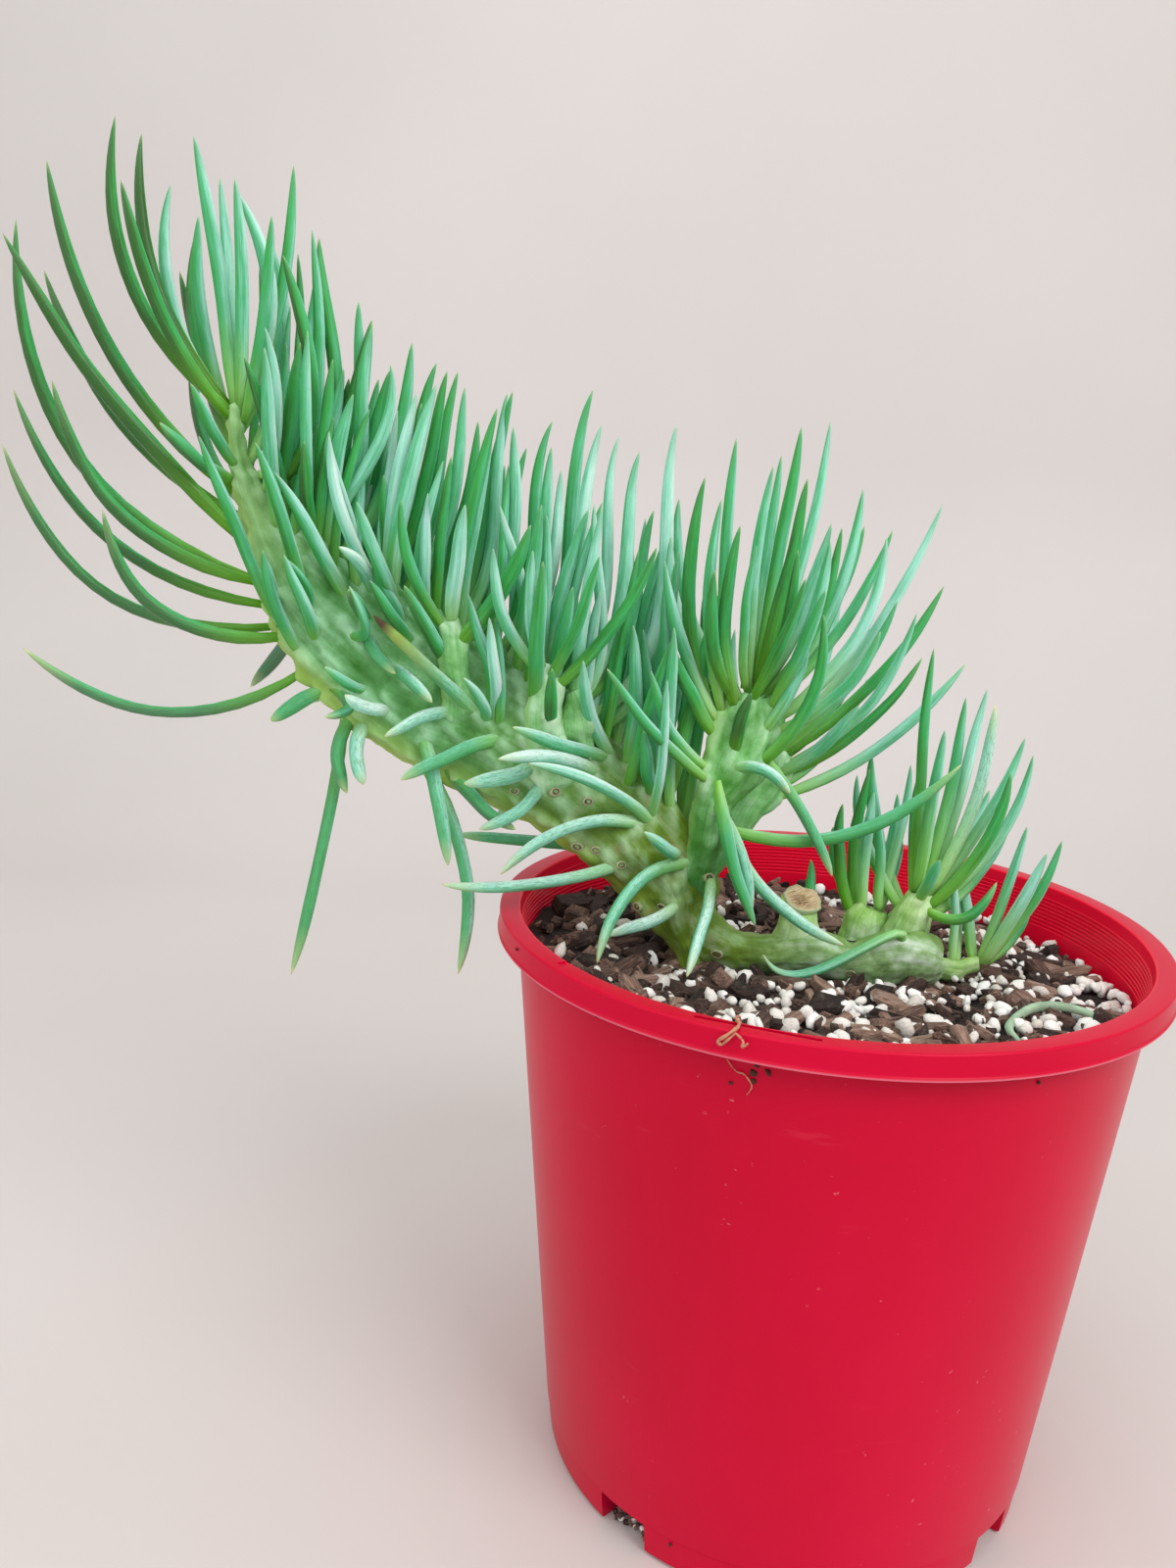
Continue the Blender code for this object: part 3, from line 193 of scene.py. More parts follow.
# Leaves set one by one: root, middle and tip as seen, then the depth of the tip
SHOOT_LEAVES = [
    ((-180, 315), (-208, 349), (-211, 391), -4),
    ((-180, 316), (-202, 351), (-204, 387), 6),
    ((-179, 294), (-218, 338), (-230, 379), 10),
    ((-181, 314), (-202, 347), (-210, 375), -14),
    ((-181, 319), (-198, 349), (-197, 375), 12),
    ((-180, 318), (-184, 353), (-190, 387), -8),
    ((-179, 316), (-181, 348), (-183, 377), 8),
    ((-178, 316), (-177, 348), (-179, 377), -12),
    ((-181, 314), (-189, 343), (-189, 367), 20),
    ((-175, 317), (-170, 350), (-179, 374), 3),
    ((-175, 314), (-166, 352), (-163, 381), 12),
    ((-175, 314), (-171, 344), (-169, 368), -12),
    ((-159, 285), (-156, 330), (-158, 365), 5),
    ((-158, 298), (-153, 339), (-156, 363), 16),
    ((-165, 299), (-159, 333), (-166, 358), -8),
    ((-167, 297), (-168, 319), (-171, 339), -14),
    ((-176, 266), (-227, 305), (-239, 364), 4),
    ((-178, 281), (-216, 320), (-243, 360), -12),
    ((-180, 286), (-213, 313), (-232, 351), 14),
    ((-176, 268), (-215, 288), (-231, 322), -8),
    ((-172, 261), (-220, 282), (-242, 319), 8),
    ((-171, 255), (-217, 263), (-246, 304), -2),
    ((-169, 251), (-204, 260), (-218, 287), -14),
    ((-160, 242), (-203, 229), (-243, 246), 2),
    ((-181, 296), (-191, 303), (-201, 312), -16),
    ((-169, 257), (-180, 284), (-190, 309), -20),
    ((-179, 302), (-186, 311), (-192, 323), -20),
    ((-165, 285), (-170, 312), (-177, 331), -20),
    ((-159, 268), (-166, 286), (-174, 308), -26),
    ((-147, 264), (-159, 284), (-169, 300), -24),
    ((-158, 280), (-159, 295), (-160, 309), -16),
]
CREST_LEAVES = [
    ((-156, 286), (-153, 306), (-149, 329), 2),
    ((-147, 281), (-150, 297), (-153, 312), -16),
    ((-149, 290), (-144, 321), (-145, 347), 8),
    ((-148, 294), (-144, 319), (-141, 341), -4),
    ((-148, 294), (-138, 311), (-136, 331), -10),
    ((-140, 291), (-133, 314), (-130, 337), 4),
    ((-134, 284), (-129, 304), (-127, 321), -10),
    ((-134, 284), (-128, 311), (-123, 332), 10),
    ((-132, 279), (-124, 309), (-120, 330), -2),
    ((-127, 276), (-121, 307), (-117, 330), 6),
    ((-125, 274), (-117, 302), (-115, 326), -10),
    ((-122, 269), (-114, 295), (-111, 317), 2),
    ((-110, 267), (-105, 300), (-103, 325), 4),
    ((-104, 267), (-100, 296), (-101, 316), -8),
    ((-96, 265), (-94, 296), (-90, 318), 8),
    ((-95, 265), (-91, 291), (-90, 311), -6),
    ((-92, 259), (-88, 282), (-87, 305), 0),
    ((-88, 259), (-83, 303), (-79, 327), 10),
    ((-87, 254), (-80, 292), (-76, 318), -2),
    ((-74, 247), (-74, 271), (-77, 296), -12),
    ((-74, 260), (-73, 291), (-71, 315), 6),
    ((-69, 258), (-67, 287), (-65, 311), -4),
    ((-67, 255), (-63, 277), (-60, 295), 14),
    ((-58, 256), (-56, 293), (-55, 319), 6),
    ((-55, 256), (-53, 272), (-52, 284), -10),
    ((-96, 259), (-99, 278), (-104, 294), -18),
    ((-134, 260), (-139, 277), (-145, 293), -20),
    ((-117, 243), (-125, 259), (-131, 270), -24),
    ((-106, 232), (-124, 247), (-140, 261), -22),
    ((-138, 262), (-148, 286), (-153, 311), -18),
    ((-167, 301), (-170, 310), (-172, 316), -18),
    ((-142, 265), (-144, 275), (-150, 280), -22),
    ((-143, 258), (-145, 264), (-147, 268), -20),
    ((-168, 256), (-170, 269), (-172, 277), -18),
    ((-159, 258), (-161, 270), (-166, 276), -22),
    ((-102, 232), (-104, 247), (-106, 262), -20),
    ((-105, 235), (-108, 254), (-113, 268), -24),
    ((-93, 242), (-92, 259), (-90, 273), -20),
    ((-74, 232), (-78, 260), (-77, 273), -14),
    ((-70, 222), (-76, 237), (-78, 251), -20),
    ((-84, 230), (-87, 238), (-87, 248), -24),
    ((-70, 226), (-69, 249), (-68, 261), -8),
    ((-60, 221), (-62, 243), (-64, 262), -12),
    ((-47, 206), (-52, 229), (-53, 250), -14),
    ((-53, 212), (-57, 220), (-59, 231), -18),
    ((-43, 204), (-42, 238), (-40, 265), 6),
    ((-50, 210), (-57, 233), (-61, 261), -4),
    ((-44, 204), (-47, 230), (-49, 258), 12),
    ((-40, 198), (-44, 225), (-47, 255), 20),
    ((-55, 214), (-56, 240), (-57, 272), 10),
]
LIMP_LEAVES = [
    ((-155, 236), (-164, 232), (-170, 228), -4),
    ((-148, 230), (-150, 218), (-147, 207), -9),
    ((-141, 228), (-144, 219), (-142, 210), -13),
    ((-150, 232), (-154, 192), (-164, 148), -4),
    ((-131, 218), (-111, 186), (-112, 151), -6),
    ((-126, 227), (-120, 209), (-116, 186), -16),
    ((-101, 227), (-117, 220), (-131, 212), -19),
    ((-114, 237), (-126, 231), (-136, 225), -20),
    ((-88, 222), (-98, 215), (-112, 212), -17),
    ((-84, 217), (-94, 206), (-107, 198), -14),
    ((-70, 221), (-85, 226), (-98, 230), -24),
    ((-68, 218), (-87, 221), (-102, 220), -26),
    ((-54, 198), (-78, 201), (-100, 184), -20),
    ((-66, 197), (-92, 195), (-114, 196), 10),
    ((-52, 195), (-80, 183), (-118, 180), -14),
    ((-52, 201), (-70, 214), (-93, 220), -19),
    ((-40, 190), (-61, 180), (-69, 153), -38),
    ((-42, 178), (-53, 172), (-67, 166), -24),
    ((-38, 187), (-37, 171), (-41, 150), -42),
    ((-44, 194), (-50, 195), (-57, 200), -26),
    ((-120, 214), (-106, 205), (-96, 198), -12),
]
FAN_LEAVES = [
    ((-39, 233), (-48, 268), (-46, 305), -12),
    ((-37, 237), (-42, 266), (-41, 299), -20),
    ((-35, 240), (-39, 279), (-38, 316), 0),
    ((-32, 238), (-37, 266), (-35, 292), -26),
    ((-29, 245), (-30, 278), (-27, 309), -16),
    ((-30, 248), (-27, 281), (-25, 312), -4),
    ((-27, 245), (-23, 286), (-20, 320), 4),
    ((-26, 245), (-21, 277), (-17, 306), -16),
    ((-25, 245), (-16, 285), (-12, 322), 12),
    ((-26, 245), (-20, 265), (-18, 286), -26),
    ((-22, 238), (-15, 256), (-9, 275), -24),
    ((-21, 240), (-12, 265), (-9, 289), -12),
    ((-20, 241), (-11, 266), (-6, 293), -2),
    ((-20, 239), (-6, 272), (-1, 304), 8),
    ((-18, 235), (0, 259), (7, 291), -8),
    ((-18, 230), (-1, 246), (8, 264), -18),
    ((-39, 234), (-50, 259), (-56, 281), -16),
    ((-38, 215), (-57, 232), (-71, 249), -28),
    ((-38, 220), (-51, 232), (-58, 249), -22),
    ((-40, 231), (-46, 243), (-53, 257), -16),
    ((-22, 224), (-8, 206), (1, 189), -17),
    ((-33, 221), (-24, 221), (-14, 214), -19),
    ((-37, 212), (-29, 198), (-23, 174), -20),
    ((-38, 204), (2, 201), (38, 225), -18),
    ((-30, 207), (-18, 182), (7, 167), -20),
]
REAR_LOBE_LEAVES = [
    ((-21, 228), (5, 262), (22, 301), 12),
    ((-17, 229), (1, 249), (12, 273), 4),
    ((-19, 225), (7, 248), (25, 278), 20),
    ((-18, 222), (6, 241), (18, 270), 6),
    ((-20, 219), (5, 234), (21, 257), 14),
    ((-22, 212), (11, 230), (34, 256), 14),
    ((-19, 219), (-6, 229), (4, 242), 0),
]
FIRST_OFFSET_LEAVES = [
    ((7, 178), (7, 202), (9, 223), 8),
    ((8, 177), (3, 192), (2, 212), 2),
    ((11, 178), (10, 197), (11, 216), -3),
    ((15, 178), (15, 192), (13, 210), 2),
    ((17, 178), (20, 200), (21, 225), 9),
    ((16, 177), (18, 198), (18, 216), 15),
]
SECOND_OFFSET_LEAVES = [
    ((27, 184), (24, 227), (24, 260), 0),
    ((27, 187), (29, 218), (30, 236), -8),
    ((29, 187), (34, 222), (35, 246), 3),
    ((31, 186), (38, 225), (41, 249), 9),
    ((31, 184), (43, 225), (44, 244), -5),
    ((28, 182), (31, 190), (33, 196), -12),
    ((29, 181), (40, 177), (51, 190), -14),
    ((30, 182), (45, 208), (54, 235), -2),
    ((31, 181), (48, 200), (57, 230), 6),
    ((29, 181), (45, 199), (51, 224), -9),
]
THIRD_OFFSET_LEAVES = [
    ((49, 164), (54, 186), (58, 208), -4),
    ((50, 164), (58, 181), (65, 200), -8),
    ((50, 164), (62, 182), (69, 204), 2),
    ((50, 164), (58, 173), (62, 182), 6),
]
SMALL_CREEPER_LEAVES = [
    ((-6, 170), (-5, 186), (-6, 194), 8),
    ((23, 172), (5, 161), (-18, 163), -18),
]

# Shed leaf on the potting mix: its middle line from above
FALLEN_LEAF = [(42, -59), (44, -46), (50, -38), (58, -33), (66, -35), (71, -43)]
SHED_HALF_WIDTH = 1.4

# Leaf shape: half widths, thickness share, where it is widest, and how slim the root is
SHOOT_HALF_WIDTH = 1.95
CREST_HALF_WIDTH = 1.95
LIMP_HALF_WIDTH = 2.05
FAN_HALF_WIDTH = 1.8
FILL_HALF_WIDTH = 1.75
LEAF_FLATNESS = 0.82
WIDEST = 0.35
ROOT_SHARE = 0.76
TIP_SHARPNESS = 6
TIP_FULLNESS = 0.7

TANGENT_STEP = 0.02

# Roots of the leaves set one by one, inside their stem and on its skin
CORE_SHARES = (0.12, 0.3, 0.5, 0.7, 0.88)
CORE_STEPS = 4
FULL_LEAN = 14.0
ROOT_INSIDE = 0.55
ROOT_SKIN = 1.05
MIDDLE_DEPTH = 0.62
SHORT_ROOT = 6.0

# Leaves that fill the stems: how far they sink, how they turn up, and where they stand
LEAF_SINK = 3.0
LOWER_HALF_OUT = 0.55
UPPER_HALF_OUT = 0.12
LOWER_HALF = 0.45
CREST_FILL_JITTER = 15.0
CREST_FILL_START = 4.2
CREST_FILL_STAGGER = 0.17
CREST_FILL_LIFT = 6.0
EDGE_LEAF = 70.0
FACE_LEAF = 48.0
BACK_LEAVES = 8
BACK_START = 4.0
BACK_LENGTH = 8.0
END_SHOOT_LEAVES = 9
END_SHOOT_START = 13.2
END_SHOOT_LENGTH = 3.6
GOLDEN_SHARE = 0.618

# Rows of leaves along the crest, and the finer rows between them: their angles, how many rows
# the stagger takes, their end and spacing, how far right they lean, and the shortest length
CREST_FILL = ((-12.0, 22.0, 54.0), 3, 13.4, 0.9, 0.32, 0.58)
FINE_FILL = ((-40.0, -16.0, 8.0, 32.0, 56.0, 80.0), 4, 14.2, 0.7, 0.35, 0.4)

# Leaves that fill a branch: its list, their count, first and last angle, and length
CREST_BRANCH_FILLS = [
    (FAN, 7, 20.0, 160.0, 64.0),
    (FAN, 4, 225.0, 315.0, 50.0),
    (REAR_LOBE, 6, 20.0, 150.0, 60.0),
    (LEFT_FOLD, 3, 190.0, 350.0, 44.0),
    (MIDDLE_FOLD, 4, 185.0, 355.0, 50.0),
]
OFFSET_FILLS = [
    (FIRST_OFFSET, 4, 20.0, 160.0, 36.0),
    (SECOND_OFFSET, 6, 10.0, 170.0, 52.0),
    (THIRD_OFFSET, 3, 110.0, 200.0, 34.0),
]

# Room kept between leaves, and between the two plants
LEAF_SAMPLES = 16
FREE_FROM = 6
BEND_STEP = 1.8
BEND_TRIES = 15
PLANT_CLEARANCE = 1.2
SOIL_ROOM = 2.8
SPOT_REACH = 0.6
SPOT_SIZE = 0.45


def placed(seen, depth):
    """The point at this depth that hides behind, or in front of, the seen (x, z)."""
    on_plane = Vector((seen[0], 0.0, seen[1]))
    return EYE + (on_plane - EYE) * ((depth - EYE.y) / -EYE.y)


def mixed(values, at):
    """A smooth curve through the values, read at a whole or broken index."""
    first = max(0, min(int(at), len(values) - 2))
    part = at - first
    near = [values[max(0, min(i, len(values) - 1))] for i in range(first - 1, first + 3)]
    before, start, end, after = near
    return 0.5 * (
        2.0 * start
        + (end - before) * part
        + (2.0 * before - 5.0 * start + 4.0 * end - after) * part**2
        + (3.0 * start - before - 3.0 * end + after) * part**3
    )


def soil_height(x, y):
    lumps = noise.noise(Vector((x, y, 0.0)) / SOIL_LUMP)
    return SOIL_LEVEL - SOIL_SLOPE * (x + y) + SOIL_RELIEF * lumps


def wall_radius(z):
    """Outer radius of the tapered wall."""
    return FOOT_RADIUS + (SHOULDER_RADIUS - FOOT_RADIUS) * z / (POT_HEIGHT - LIP_HEIGHT)


def turns(sides):
    """Angles of the corners of a ring."""
    return [math.tau * side / sides for side in range(sides)]


def row_at(rows, at):
    """A list's row read between two stations, with its seen places as vectors."""
    return [
        mixed([Vector(value) if isinstance(value, tuple) else value for value in column], at)
        for column in zip(*rows)
    ]


def crest_point(at, angle, rows=CREST):
    """A point of the crest's skin: angle 0 is its growing edge, and -90 degrees faces the viewer."""
    lower, upper, thick = row_at(rows, at)
    middle = (lower + upper) / 2.0 + (upper - lower) / 2.0 * math.cos(angle)
    towards_edge = (1.0 + math.cos(angle)) / 2.0
    fold = min(1.0, (upper - lower).length / WAVE_FULL_WIDTH) ** 2 * WAVE_HEIGHT * towards_edge**2
    wave = fold * math.sin(math.tau * (at - WAVE_START) / WAVE_LENGTH)
    depth = math.sin(angle) * thick * (1.0 - EDGE_THINNING * math.cos(angle)) + wave
    return placed(middle, depth)


def crest_axis(at):
    """The middle of the crest, between its growing edge and its lower ridge."""
    return (crest_point(at, 0.0) + crest_point(at, math.pi)) / 2.0


def branch_point(rows, at, angle):
    """A point of a branch's skin: angle 0 is its right side, and -90 degrees faces the viewer."""
    centre, width, thick, depth = row_at(rows, at)
    centres = [row[:1] for row in rows]
    step = row_at(centres, min(at + 0.5, len(rows) - 1))[0] - row_at(centres, max(at - 0.5, 0))[0]
    across = Vector((step.y, -step.x)).normalized()
    return placed(centre + across * width * math.cos(angle), depth + thick * math.sin(angle))


def stem_rings(point_at, count, sides):
    """Rings of a stem, one for each row of its list."""
    return [[point_at(at, angle) for angle in turns(sides)] for at in range(count)]


def leaf_curve(points, at):
    """The leaf's middle line, one smooth bow through its points as at goes from 0 to 1."""
    knots = [0.0]
    for start, end in zip(points, points[1:]):
        knots.append(knots[-1] + (end - start).length)
    place = at * knots[-1]
    result = Vector()
    for own, point in zip(knots, points):
        weight = 1.0
        for other in knots:
            if other != own:
                weight *= (place - other) / (own - other)
        result += point * weight
    return result


def leaf_width(at):
    """Share of the full half width, slim at the root and pointed at the tip."""
    root = ROOT_SHARE + (1.0 - ROOT_SHARE) * min(1.0, at / WIDEST)
    return root * (1.0 - at**TIP_SHARPNESS) ** TIP_FULLNESS


def leaf_way(points, at):
    """The way that the leaf grows at a place along it."""
    before = leaf_curve(points, max(0.0, at - TANGENT_STEP))
    after = leaf_curve(points, min(1.0, at + TANGENT_STEP))
    return (after - before).normalized()


def leaf_length(leaf):
    return sum((end - start).length for start, end in zip(leaf[0], leaf[0][1:]))


def nearest_core(seen, core):
    """The core point nearest to a seen place, as (x, z), depth and half thickness."""
    return min(core, key=lambda spot: (Vector(spot[0]) - Vector(seen)).length)


def crest_core():
    """Points inside the crest, from its lower ridge nearly to its growing edge."""
    spots = []
    for step in range(CORE_STEPS * (len(CREST) - 1) + 1):
        at = step / CORE_STEPS
        lower, upper, _ = row_at(CREST, at)
        for share in CORE_SHARES:
            angle = math.acos(2.0 * share - 1.0)
            skin = crest_point(at, -angle)
            back = crest_point(at, angle)
            spots.append((lower.lerp(upper, share), (skin.y + back.y) / 2.0, (back.y - skin.y) / 2.0))
    return spots


def branch_core(rows):
    """Points inside a branch, from side to side."""
    spots = []
    for step in range(CORE_STEPS * (len(rows) - 1) + 1):
        centre, width, thick, depth = row_at(rows, step / CORE_STEPS)
        for core_share in CORE_SHARES:
            share = 2.0 * core_share - 1.0
            place = centre + Vector((width * share, 0.0))
            spots.append((place, depth, thick * math.sqrt(1.0 - share * share)))
    return spots


def set_leaf(row, core, half_width, draw):
    """A leaf from its row, rooted inside the stem and passing its seen root on the way out."""
    root, middle, tip, tip_depth = row
    spot, depth, thick = nearest_core(root, core)
    towards = max(-1.0, min(1.0, (tip_depth - depth) / FULL_LEAN))
    start = placed(spot, depth + ROOT_INSIDE * thick * towards)
    root_depth = depth + ROOT_SKIN * thick * towards
    middle_depth = root_depth + MIDDLE_DEPTH * (tip_depth - root_depth)
    points = [start]
    seen_root = placed(root, root_depth)
    if (seen_root - start).length > SHORT_ROOT:
        points.append(seen_root)
    points += [placed(middle, middle_depth), placed(tip, tip_depth)]
    return points, half_width * draw.uniform(0.88, 1.12)


def fill_leaf(root, inside, out, up, length, draw):
    """A leaf rooted towards the inside of its stem, which leaves along out and bends to up."""
    inward = inside - root
    start = root + inward.normalized() * min(LEAF_SINK, 0.5 * inward.length)
    lower_way = up.lerp(out, LOWER_HALF_OUT).normalized()
    upper_way = up.lerp(out, UPPER_HALF_OUT).normalized()
    middle = root + lower_way * length * LOWER_HALF
    tip = middle + upper_way * length * (1.0 - LOWER_HALF)
    return [start, middle, tip], FILL_HALF_WIDTH * draw.uniform(0.75, 1.3)


def crest_fill(rows, draw):
    """Rows of upright leaves on both faces and along the growing edge of the crest."""
    angles, stagger_rows, end, spacing, lean, shortest = rows
    leaves = []
    for row, degrees in enumerate(angles):
        at = CREST_FILL_START + CREST_FILL_STAGGER * (row % stagger_rows)
        while at < end:
            angle = math.radians(degrees + draw.uniform(-CREST_FILL_JITTER, CREST_FILL_JITTER))
            root = crest_point(at, angle)
            inside = crest_axis(at)
            out = Vector((0.0, root.y - inside.y, CREST_FILL_LIFT)).normalized()
            up = Vector((draw.uniform(-0.05, lean), draw.uniform(-0.16, 0.16), 1.0)).normalized()
            length = EDGE_LEAF + (FACE_LEAF - EDGE_LEAF) * math.sin(angle) ** 2
            length *= draw.uniform(shortest, 1.0)
            leaves.append(fill_leaf(root, inside, out, up, length, draw))
            at += spacing * draw.uniform(0.8, 1.2)
    return leaves


def crest_back(draw):
    """Limp leaves on the back of the crest, like those on its front."""
    leaves = []
    for index in range(BACK_LEAVES):
        at = BACK_START + BACK_LENGTH * (index + draw.uniform(0.2, 0.8)) / BACK_LEAVES
        root = crest_point(at, math.radians(draw.uniform(85.0, 125.0)))
        out = Vector((draw.uniform(-0.6, 0.2), 1.0, 0.1)).normalized()
        down = Vector((draw.uniform(-1.0, -0.3), 0.3, draw.uniform(-0.9, 0.3))).normalized()
        leaves.append(fill_leaf(root, crest_axis(at), out, down, draw.uniform(28.0, 44.0), draw))
    return leaves


def end_shoot_fill(draw):
    """Leaves round the end shoot, where the leaves set one by one leave it open behind."""
    leaves = []
    for index in range(END_SHOOT_LEAVES):
        at = END_SHOOT_START + END_SHOOT_LENGTH * (index + 0.5) / END_SHOOT_LEAVES
        angle = math.radians(30.0 + 110.0 * ((index * GOLDEN_SHARE) % 1.0))
        root = crest_point(at, angle)
        out = (root - crest_axis(at)).normalized() + Vector((0.0, 0.0, 0.5))
        up = Vector((draw.uniform(-0.3, 0.1), draw.uniform(0.0, 0.35), 1.0)).normalized()
        leaves.append(fill_leaf(root, crest_axis(at), out.normalized(), up, draw.uniform(56.0, 74.0), draw))
    return leaves


def branch_fill(rows, count, first_angle, last_angle, length, draw):
    """Upright leaves round the top of a branch."""
    leaves = []
    for index in range(count):
        at = len(rows) - 1 - draw.uniform(0.1, 1.4)
        angle = math.radians(first_angle + (last_angle - first_angle) * ((index + 0.5) / count))
        root = branch_point(rows, at, angle)
        axis = (branch_point(rows, at, 0.0) + branch_point(rows, at, math.pi)) / 2.0
        out = ((root - axis).normalized() + Vector((0.0, 0.0, 0.8))).normalized()
        up = Vector((0.15 + 0.3 * math.cos(angle), 0.3 * math.sin(angle), 1.0)).normalized()
        leaves.append(fill_leaf(root, axis, out, up, length * draw.uniform(0.7, 1.0), draw))
    return leaves


def samples(leaf):
    """Balls along a leaf, as rows of x, y, z and radius."""
    points, width = leaf
    rows = []
    for index in range(LEAF_SAMPLES):
        at = index / (LEAF_SAMPLES - 1)
        rows.append((*leaf_curve(points, at), width * leaf_width(at)))
    return np.array(rows)


def closest_gap(own, spots):
    """The smallest gap between two sets of balls, below zero where they cross."""
    apart = np.linalg.norm(own[:, None, :3] - spots[None, :, :3], axis=2)
    return float((apart - own[:, None, 3] - spots[None, :, 3]).min())


def bent(leaf, bend):
    """The leaf with its tip moved in depth, and the rest of it less the nearer its root."""
    points, width = leaf
    last = len(points) - 1
    moved = [point + Vector((0.0, bend * index / last, 0.0)) for index, point in enumerate(points)]
    return moved, width


def bent_clear(leaves, spots, clearance, first, among_themselves):
    """The leaves bent in depth until they keep clear, leaving out those that can't."""
    kept = []
    for leaf in leaves:
        for step in range(BEND_TRIES):
            bend = BEND_STEP * ((step + 1) // 2) * (1.0 if step % 2 else -1.0)
            moved = bent(leaf, bend)
            own = samples(moved)
            if not len(spots) or closest_gap(own[first:], spots) > clearance:
                kept.append(moved)
                if among_themselves:
                    spots = np.concatenate([spots, own[first:]]) if len(spots) else own[first:]
                break
    return kept


def above_soil(leaves):
    """The leaves with every point but the root lifted clear of the potting mix."""
    lifted = []
    for points, width in leaves:
        raised = [points[0]]
        for point in points[1:]:
            lowest = soil_height(point.x, point.y) + SOIL_RELIEF + width + SOIL_ROOM
            inside_pot = math.hypot(point.x, point.y) < RIM_RADIUS
            height = max(point.z, lowest) if inside_pot else point.z
            raised.append(Vector((point.x, point.y, height)))
        lifted.append((raised, width))
    return lifted


def stem_spots(rings):
    """Balls that fill a stem's rings, for keeping leaves of another stem clear of it."""
    rows = []
    for ring, following in zip(rings, rings[1:]):
        for share in (0.0, 0.5):
            middle = [start.lerp(end, share) for start, end in zip(ring, following)]
            centre = sum(middle, Vector()) / len(middle)
            for point in middle:
                rows.append((*centre.lerp(point, SPOT_REACH), (point - centre).length * SPOT_SIZE))
    return np.array(rows)


def settled(leaves):
    """The leaves clear of the potting mix and of each other."""
    return bent_clear(above_soil(leaves), np.empty((0, 4)), 0.0, FREE_FROM, True)


def crested_leaves():
    """The leaves of the crest and its branches that the solids have."""
    draw = random.Random(SEED)
    crest = crest_core()
    fan = branch_core(FAN)
    leaves = []
    for rows, core, half_width in (
        (SHOOT_LEAVES, crest, SHOOT_HALF_WIDTH),
        (CREST_LEAVES, crest, CREST_HALF_WIDTH),
        (LIMP_LEAVES, crest, LIMP_HALF_WIDTH),
        (FAN_LEAVES, fan, FAN_HALF_WIDTH),
        (REAR_LOBE_LEAVES, branch_core(REAR_LOBE), FAN_HALF_WIDTH),
    ):
        leaves += [set_leaf(row, core, half_width, draw) for row in rows]
    leaves += end_shoot_fill(draw)
    for fill in CREST_BRANCH_FILLS:
        leaves += branch_fill(*fill, draw)
    leaves += crest_back(draw)
    leaves += crest_fill(CREST_FILL, draw)
    return settled(leaves)


def creeper_leaves(spots):
    """The leaves of the creeping stem that the solids have, clear of the other plant's spots."""
    draw = random.Random(SEED + 1)
    leaves = []
    for rows, base in (
        (FIRST_OFFSET_LEAVES, FIRST_OFFSET),
        (SECOND_OFFSET_LEAVES, SECOND_OFFSET),
        (THIRD_OFFSET_LEAVES, THIRD_OFFSET),
        (SMALL_CREEPER_LEAVES, CREEPER + STUMP),
    ):
        core = branch_core(base)
        leaves += [set_leaf(row, core, FAN_HALF_WIDTH, draw) for row in rows]
    for fill in OFFSET_FILLS:
        leaves += branch_fill(*fill, draw)
    return bent_clear(settled(leaves), spots, PLANT_CLEARANCE, 0, False)


def notch_angles():
    return [FIRST_NOTCH + math.tau * index / NOTCHES for index in range(NOTCHES)]


# Meshes

# Leaves: a slim root, a long tip, and how far they sway, vary in width and crease as they dry
LEAF_SIDES = 12
LEAF_RINGS = 17
RING_CROWDING = 1.5
FLARE_REACH = 4.0
SLIM_ROOT = 0.5
SLIM_REACH = 0.22
SLIM_LENGTH = 9.0
TAPER_START = 0.30
TAPER_SHARPNESS = 3.6
DRY_SHARPNESS = 2.4
TAPER_FULLNESS = 0.75
SWAY = 0.9
SWAY_TURNS = 2.2
UNEVENNESS = 0.07
UNEVEN_TURNS = 3.0
CREASE = 0.16
CREASE_TURNS = (2.2, 2.2, 2.0)
FLOW_LENGTH = 10.0
# Painted light: the tone is raised on the side of a leaf that faces the lamps, as a painted lit side
LIT_SIDE_FACING = Vector((0.6, -0.15, 0.75)).normalized()
LIT_SIDE_SHARE = 0.30
# Painted highlight: the tone is raised along both edges of a leaf
EDGE_HIGHLIGHT = 0.2

# Stem skins: their lobes and fine bumps, and the ribs that run down them from the leaves
SKIN_STEP = 0.06
SKIN_SIDES = 128
SKIN_FLOW = (3.0, 3.0, 0.6)
SKIN_SINK = 0.5
LOBE_SIZE = 8.5
LOBE_HEIGHT = 2.6
LOBE_SINK = 0.7
BUMP_SIZE = 3.0
BUMP_HEIGHT = 0.45
RIB_HEIGHT = 1.9
LOW_RIB_HEIGHT = 1.1
RIB_RADIUS = 2.2
RIB_STRETCH = 4.5
RIB_REACH = 16.0
RIB_PALENESS = 0.16
ROOT_PROBES = 24
ROOT_GAP = 2.0
GRAIN_START = Vector((-42.0, 0.0, 150.0))


